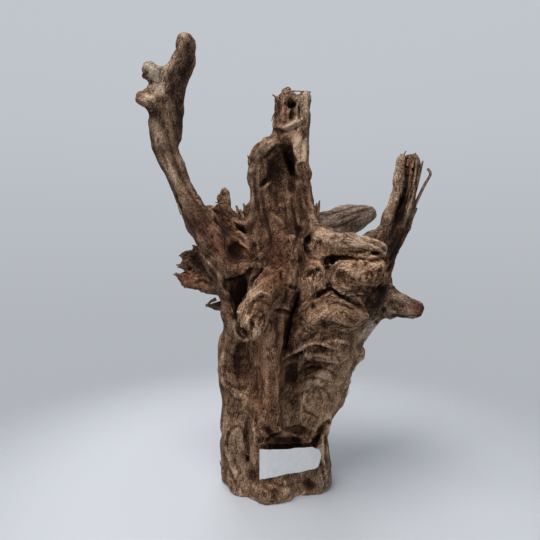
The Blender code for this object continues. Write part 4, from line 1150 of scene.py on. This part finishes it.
grit = rangeNode(tree, noiseNode(tree, given["Position"], fibreLook["gritScale"], 1.0),
                 *fibreLook["gritRange"], -fibreLook["grit"], fibreLook["grit"])
wire(tree, put["Streaks"], plus(tree, contrast, grit))
thread = noiseNode(tree, bent, fibreLook["threadScale"], 2.0)
gap = mathNode(tree, "ABSOLUTE", mathNode(tree, "SUBTRACT", thread, 0.5))
patch = rangeNode(tree, noiseNode(tree, given["Place"], fibreLook["patchScale"], 2.0), *fibreLook["patch"])
patch = times(tree, patch, rangeNode(tree, given["Wear"], *fibreLook["worn"], fibreLook["leastCrack"], 1.0))
flecks = rangeNode(tree, noiseNode(tree, given["Position"], fibreLook["fleckScale"], 2.0, 0.6),
                   *fibreLook["fleck"])
cracks = mathNode(tree, "MAXIMUM", times(tree, rangeNode(tree, gap, *fibreLook["gap"]), patch),
                  times(tree, flecks, fibreLook["fleckDepth"]))
wire(tree, put["Cracks"], cracks)
wire(tree, put["Height"], mathNode(tree, "SUBTRACT", streaks, times(tree, cracks, fibreLook["crackDepth"])))

# colour of old wood from its streaks, with painted highlights on its edges and painted shade in its creases
# and hollows
oldWood = {
    # Edge paints highlights and shade, Dark paints shade as well as cracks, and Pale paints light as well as
    # light tan.
    "weights": {"Streaks": 0.38, "Blotches": 0.2, "Edge": 0.3, "Pale": 0.5, "Dark": -0.5, "Cracks": -0.5},
    "colours": [(0.0, (0.023, 0.0105, 0.006)), (0.2, (0.066, 0.031, 0.0155)), (0.42, (0.141, 0.077, 0.040)),
                (0.64, (0.264, 0.161, 0.093)), (0.84, (0.43, 0.295, 0.186)), (1.0, (0.62, 0.465, 0.333))],
    "hollow": (0.2, 0.9, -0.16, 0.02), "shaded": (0.05, 0.75, 0.0, 1.0), "roughness": (0.1, 0.9, 0.95, 0.78),
    "red": (1.08, 0.64, 0.55, 1), "redShare": 0.8, "grey": (1.12, 1.06, 1.0, 1), "greyShare": 0.75,
    "shade": [(0.0, (0.33, 0.19, 0.125)), (0.5, (0.70, 0.57, 0.485)), (1.0, (1, 1, 1))],
}
toneGroup, given, put = newGroup(
    "oldWoodColour",
    {"Streaks": 0.5, "Cracks": 0.0, "Blotches": 0.5, "Edge": 0.0, "Openness": 1.0, "Pale": 0.5, "Red": 0.0,
     "Grey": 0.0, "Dark": 0.0},
    {"Color": "NodeSocketColor", "Roughness": "NodeSocketFloat"})
tree = toneGroup
value = None
for name, weight in oldWood["weights"].items():
    part = times(tree, given[name], weight)
    value = part if value is None else plus(tree, value, part)
# painted shade: darker where the wood is less open to the sky
value = plus(tree, value, rangeNode(tree, given["Openness"], *oldWood["hollow"]))
colour = rampNode(tree, value, oldWood["colours"])
reddened = mixColour(tree, "MULTIPLY", 1.0, colour, oldWood["red"])
colour = mixColour(tree, "MIX", times(tree, given["Red"], oldWood["redShare"]), colour, reddened)
brightness = newNode(tree, "RGBToBW", colour).outputs[0]
greyed = mixColour(tree, "MULTIPLY", 1.0, brightness, oldWood["grey"])
colour = mixColour(tree, "MIX", times(tree, given["Grey"], oldWood["greyShare"]), colour, greyed)
# painted shade: hollows darkened and browned by how little sky they see
shade = rampNode(tree, rangeNode(tree, given["Openness"], *oldWood["shaded"]), oldWood["shade"])
wire(tree, put["Color"], mixColour(tree, "MULTIPLY", 1.0, colour, shade))
wire(tree, put["Roughness"], rangeNode(tree, value, *oldWood["roughness"]))


def newMaterial(name, specular):
    material = bpy.data.materials.new(name)
    material.use_nodes = True
    shader = material.node_tree.nodes["Principled BSDF"]
    shader.inputs["Specular IOR Level"].default_value = specular
    return material, material.node_tree, shader


def placeGroup(tree, group, **values):
    node = newNode(tree, "Group", node_tree=group)
    for name, value in values.items():
        wire(tree, node.inputs[name], value)
    return node.outputs


def finishSurface(tree, shader, colour, roughness, height, bumpDepth):
    bump = newNode(tree, "Bump")
    bump.inputs["Distance"].default_value = bumpDepth * mm
    bump.inputs["Strength"].default_value = 1.0
    wire(tree, bump.inputs["Height"], height)
    for name, source in (("Base Color", colour), ("Roughness", roughness), ("Normal", bump.outputs[0])):
        wire(tree, shader.inputs[name], source)


woodFinish = {"specular": 0.22, "blotchScale": 62.0, "blotches": (0.36, 0.64), "crumbScale": 900.0,
              "crumbShare": 0.12}


def makeOldWood(name, width, stretch, bumpDepth):
    material, tree, shader = newMaterial(name, woodFinish["specular"])
    position = objectPlace(tree)
    grain = placeGroup(tree, grainGroup, Place=attributeNode(tree, "grainPlace", "Vector"), Position=position,
                       Width=width, Stretch=stretch, Wear=attributeNode(tree, "wear"))
    blotches = noiseNode(tree, position, woodFinish["blotchScale"], 3.0, 0.6)
    blotches = rangeNode(tree, blotches, *woodFinish["blotches"], kind="LINEAR")
    labels = ("edge", "openness", "pale", "red", "grey", "dark")
    tones = {label.title(): attributeNode(tree, label) for label in labels}
    looks = placeGroup(tree, toneGroup, Streaks=grain["Streaks"], Cracks=grain["Cracks"], Blotches=blotches,
                       **tones)
    crumbs = noiseNode(tree, position, woodFinish["crumbScale"], 2.0, 0.6)
    height = plus(tree, grain["Height"], times(tree, crumbs, woodFinish["crumbShare"]))
    finishSurface(tree, shader, looks["Color"], looks["Roughness"], height, bumpDepth)
    return material


weatheredWood = makeOldWood("weatheredWood", width=1.0, stretch=0.2, bumpDepth=2.4)
paperFinish = {
    "specular": 0.4, "mottleScale": 240.0, "tones": [(0.3, (0.60, 0.615, 0.635)), (0.7, (0.68, 0.69, 0.705))],
    "smudgeScale": 70.0, "smudges": (0.5, 0.75, 0.0, 0.4), "smudge": (0.82, 0.76, 0.68, 1),
    "roughness": (0.3, 0.7, 0.5, 0.62), "fibreScale": 1400.0, "bumpDepth": 0.08,
}
labelPaper, tree, shader = newMaterial("labelPaper", paperFinish["specular"])
position = objectPlace(tree)
mottle = noiseNode(tree, position, paperFinish["mottleScale"], 4.0, 0.6)
smudge = noiseNode(tree, position, paperFinish["smudgeScale"], 3.0, 0.6)
smudge = rangeNode(tree, smudge, *paperFinish["smudges"])
colour = mixColour(tree, "MULTIPLY", smudge, rampNode(tree, mottle, paperFinish["tones"]),
                   paperFinish["smudge"])
finishSurface(tree, shader, colour, rangeNode(tree, mottle, *paperFinish["roughness"]),
              noiseNode(tree, position, paperFinish["fibreScale"], 3.0, 0.6), paperFinish["bumpDepth"])
for piece, material in ((wood, weatheredWood), (tag, labelPaper)):
    piece.data.materials.clear()
    piece.data.materials.append(material)
report("finishes")

# A pale floor that fades into the surroundings, a backdrop painted lighter towards the top, and soft light
# from above and the left.
# Lengths are metres here, apart from the floor's drop.
studio = {
    "surround": (0.46, 0.485, 0.52), "surroundLight": 0.38, "backdrop": (-0.3, 0.45, 0.95, 1.16),
    "floor": (0.51, 0.535, 0.575), "floorRadius": 1.6, "floorDrop": 0.2, "floorRoughness": 0.7,
    "floorSpecular": 0.2, "fade": (0.15, 0.4), "aim": (0.0, 0.0, 0.15),
}
# place, size, power and colour
softLights = {
    "softKey": ((-0.6, -0.5, 1.9), 1.3, 39.5, (1.0, 0.98, 0.95)),
    "softBack": ((-0.3, 1.3, 1.3), 1.2, 14.0, (0.97, 0.98, 1.0)),
    "softFill": ((0.5, -1.5, 0.7), 1.0, 8.0, (0.95, 0.97, 1.0)),
}
bpy.ops.object.select_all(action="DESELECT")
bpy.ops.mesh.primitive_circle_add(vertices=96, radius=studio["floorRadius"], fill_type="NGON",
                                  location=(0, 0, -studio["floorDrop"] * mm))
floor = bpy.context.active_object
floor.name = "studioFloor"
floorFinish, tree, shader = newMaterial("floorFinish", studio["floorSpecular"])
distance = newNode(tree, "VectorMath", objectPlace(tree), operation="LENGTH").outputs["Value"]
wire(tree, shader.inputs["Base Color"], (*studio["floor"], 1))
shader.inputs["Roughness"].default_value = studio["floorRoughness"]
blend = newNode(tree, "MixShader", rangeNode(tree, distance, *studio["fade"]), shader.outputs[0],
                newNode(tree, "BsdfTransparent").outputs[0])
wire(tree, tree.nodes["Material Output"].inputs["Surface"], blend.outputs[0])
floor.data.materials.append(floorFinish)

world = bpy.data.worlds.new("studioSurround")
bpy.context.scene.world = world
world.use_nodes = True
tree = world.node_tree
surround = tree.nodes["Background"].inputs
wire(tree, surround["Color"], (*studio["surround"], 1))
seen = newNode(tree, "LightPath").outputs["Is Camera Ray"]
way = newNode(tree, "SeparateXYZ", newNode(tree, "TexCoord").outputs["Generated"])
# painted light: the backdrop that the camera sees grows lighter towards the top, while the wood is lit by the
# surround at its own strength
backdrop = rangeNode(tree, way.outputs[2], *studio["backdrop"])
wire(tree, surround["Strength"], rangeNode(tree, seen, 0, 1, studio["surroundLight"], backdrop, "LINEAR"))
for name, (place, size, power, colour) in softLights.items():
    bpy.ops.object.light_add(type="AREA", location=place)
    light = bpy.context.active_object
    light.name = name
    light.data.size = size
    light.data.energy = power
    light.data.color = colour
    light.rotation_euler = (Vector(studio["aim"]) - Vector(place)).to_track_quat("-Z", "Y").to_euler()
bpy.context.scene.view_settings.view_transform = "Standard"
report("studio")
